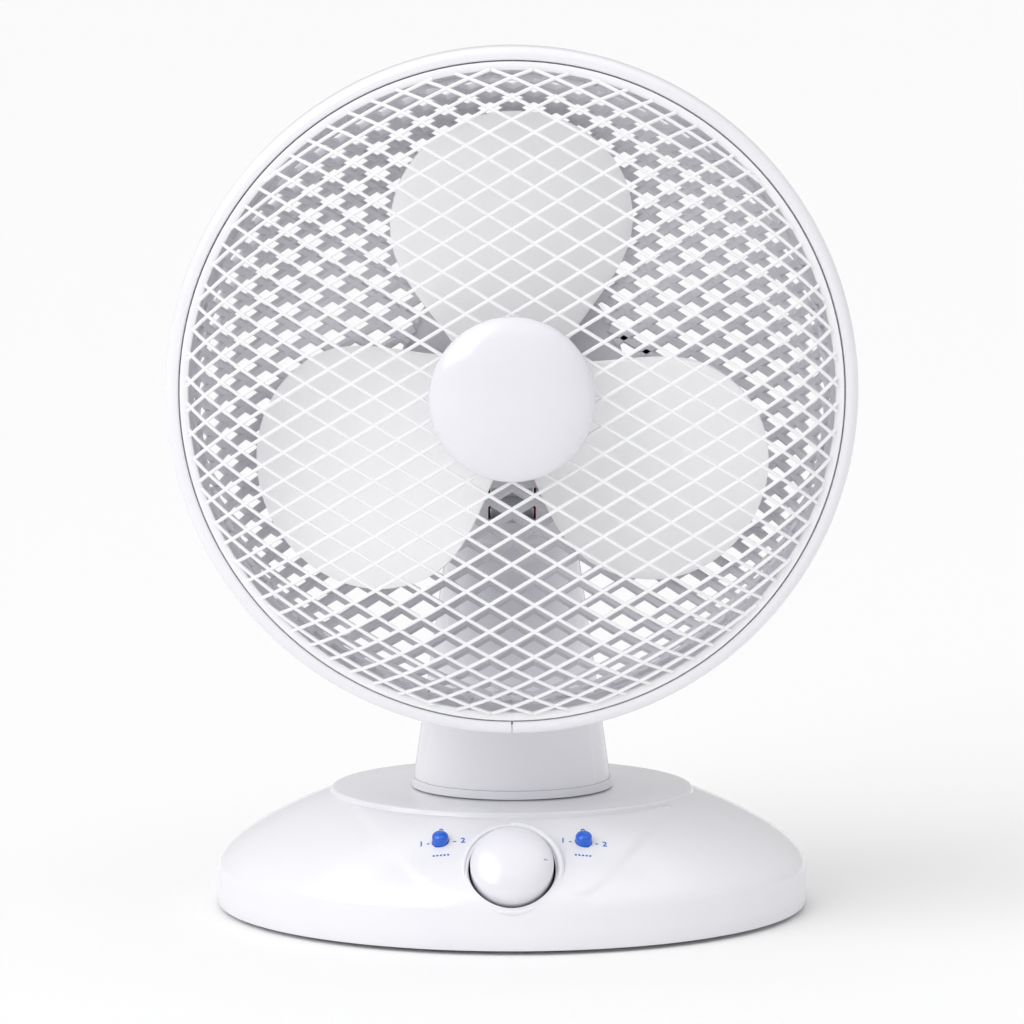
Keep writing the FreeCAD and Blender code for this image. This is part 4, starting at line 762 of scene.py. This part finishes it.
move_points(neck_casing, stripped)
hollowed(neck_casing, 2.0, lambda middle: middle.z < 55.11 * MM)
settle(neck_casing, "neck", "white_gloss_abs", gloss_white, "neck_front_shell", "neck_rear_shell", angle=28)

# %% [markdown]
# ## Printed marks
# Small marks round each button say off, one and two. They are plain digits and ticks, drawn as
# thin letters, made into meshes, and pressed onto the dome so that they follow its slope.
# %% Printed marks
def printed(name, words, side, right, up, size):
    """Lay a short plain text onto the casing beside a button."""
    clear()
    bpy.ops.object.text_add()
    bpy.context.object.data.body = words
    bpy.context.object.data.size = size * MM
    bpy.context.object.data.align_x = bpy.context.object.data.align_y = "CENTER"
    bpy.context.object.data.offset = 0.06 * MM
    bpy.ops.object.convert(target="MESH")
    text = named(name)
    place = BUTTONS[side] @ Matrix.Translation((right * MM, up * MM, 0.3 * MM))
    put(text, place)
    bpy.ops.object.mode_set(mode="EDIT")
    bpy.ops.mesh.select_all(action="SELECT")
    bpy.ops.mesh.remove_doubles(threshold=0.000001)
    bpy.ops.object.mode_set(mode="OBJECT")
    apply_modifier(text, "SHRINKWRAP", target=base_casing, wrap_method="NEAREST_SURFACEPOINT",
                   wrap_mode="ABOVE_SURFACE", offset=0.12 * MM)
    apply_modifier(text, "SOLIDIFY", thickness=0.1 * MM, offset=-1)
    return text


for side, label in ((-1, "left"), (1, "right")):
    marks = [printed("mark_" + label, words, side, right, up, size) for words, right, up, size in (
        ("0", 0.0, 6.4, 4.2), ("1", -8.4, -0.6, 4.2), ("2", 9.2, -0.6, 4.2), ("-", 5.8, -0.6, 4.2),
        ("-", -5.4, -0.6, 4.2), (".....", 0.0, -7.0, 7.0))]
    ink = join(*marks)
    ink.name = "marks_" + label
    settle(ink, "base", "blue_gloss_abs", ink_blue, angle=60)

# %% [markdown]
# ## Floor, light and camera
# A pale flat floor carries the fan. A wide soft light from the upper left makes the long highlights, a weaker
# one from above keeps the shaded side from going grey, and a small soft box at the left draws highlights on
# the gloss. The camera stands far off with a long lens, so the round guard stays round.
# %% Floor
clear()
bpy.ops.mesh.primitive_plane_add(size=40, location=(0, 0, 0))
floor = named("floor")
floor_look = bpy.data.materials.new("paper_matt_white")
floor_look.use_nodes = True
floor_look.node_tree.nodes["Principled BSDF"].inputs["Base Color"].default_value = colour("f7f7f7")
floor_look.node_tree.nodes["Principled BSDF"].inputs["Roughness"].default_value = 0.9
floor.data.materials.append(floor_look)

# %% Lights
world = bpy.data.worlds.new("studio")
bpy.context.scene.world = world
world.use_nodes = True
world.node_tree.nodes["Background"].inputs["Color"].default_value = colour("ffffff")
world.node_tree.nodes["Background"].inputs["Strength"].default_value = 0.6
bpy.context.scene.view_settings.view_transform = "Standard"


def aim(light, place):
    """Turn a light at a place towards the middle of the fan."""
    toward = Vector((0, 0, 0.2)) - Vector(place)
    light.rotation_euler = toward.to_track_quat("-Z", "Y").to_euler()


def far_light(name, place, strength, spread):
    """A distant soft light, which lights the floor evenly right to the back."""
    bpy.ops.object.light_add(type="SUN", location=place)
    light = bpy.context.object
    light.name = light.data.name = name
    light.data.energy = strength
    light.data.angle = math.radians(spread)
    aim(light, place)


def soft_box(name, place, size, power):
    """A near square light, which draws the soft highlights on gloss plastic."""
    bpy.ops.object.light_add(type="AREA", location=place)
    light = bpy.context.object
    light.name = light.data.name = name
    light.data.size = size
    light.data.energy = power
    aim(light, place)


far_light("key", (-1.9, -1.5, 2.2), 1.0, 50)
far_light("top", (-0.1, -0.5, 3.0), 0.8, 80)
soft_box("left_box", (-1.0, -1.6, 1.1), 0.5, 2)

# %% Camera
CAMERA_BACK, CAMERA_HEIGHT, CAMERA_DOWN = 2.4, 0.543, 8.88
bpy.ops.object.camera_add(location=(0, -CAMERA_BACK, CAMERA_HEIGHT),
                          rotation=(math.radians(90 - CAMERA_DOWN), 0, 0))
camera = bpy.context.object
camera.data.lens = 203.3
camera.data.sensor_width = 36
camera.data.clip_end = 60
bpy.context.scene.camera = camera

# %% A helper for the corners of a box
def corners(box):
    """The two corners of a box as plain lists."""
    return [list(corner) for corner in box]
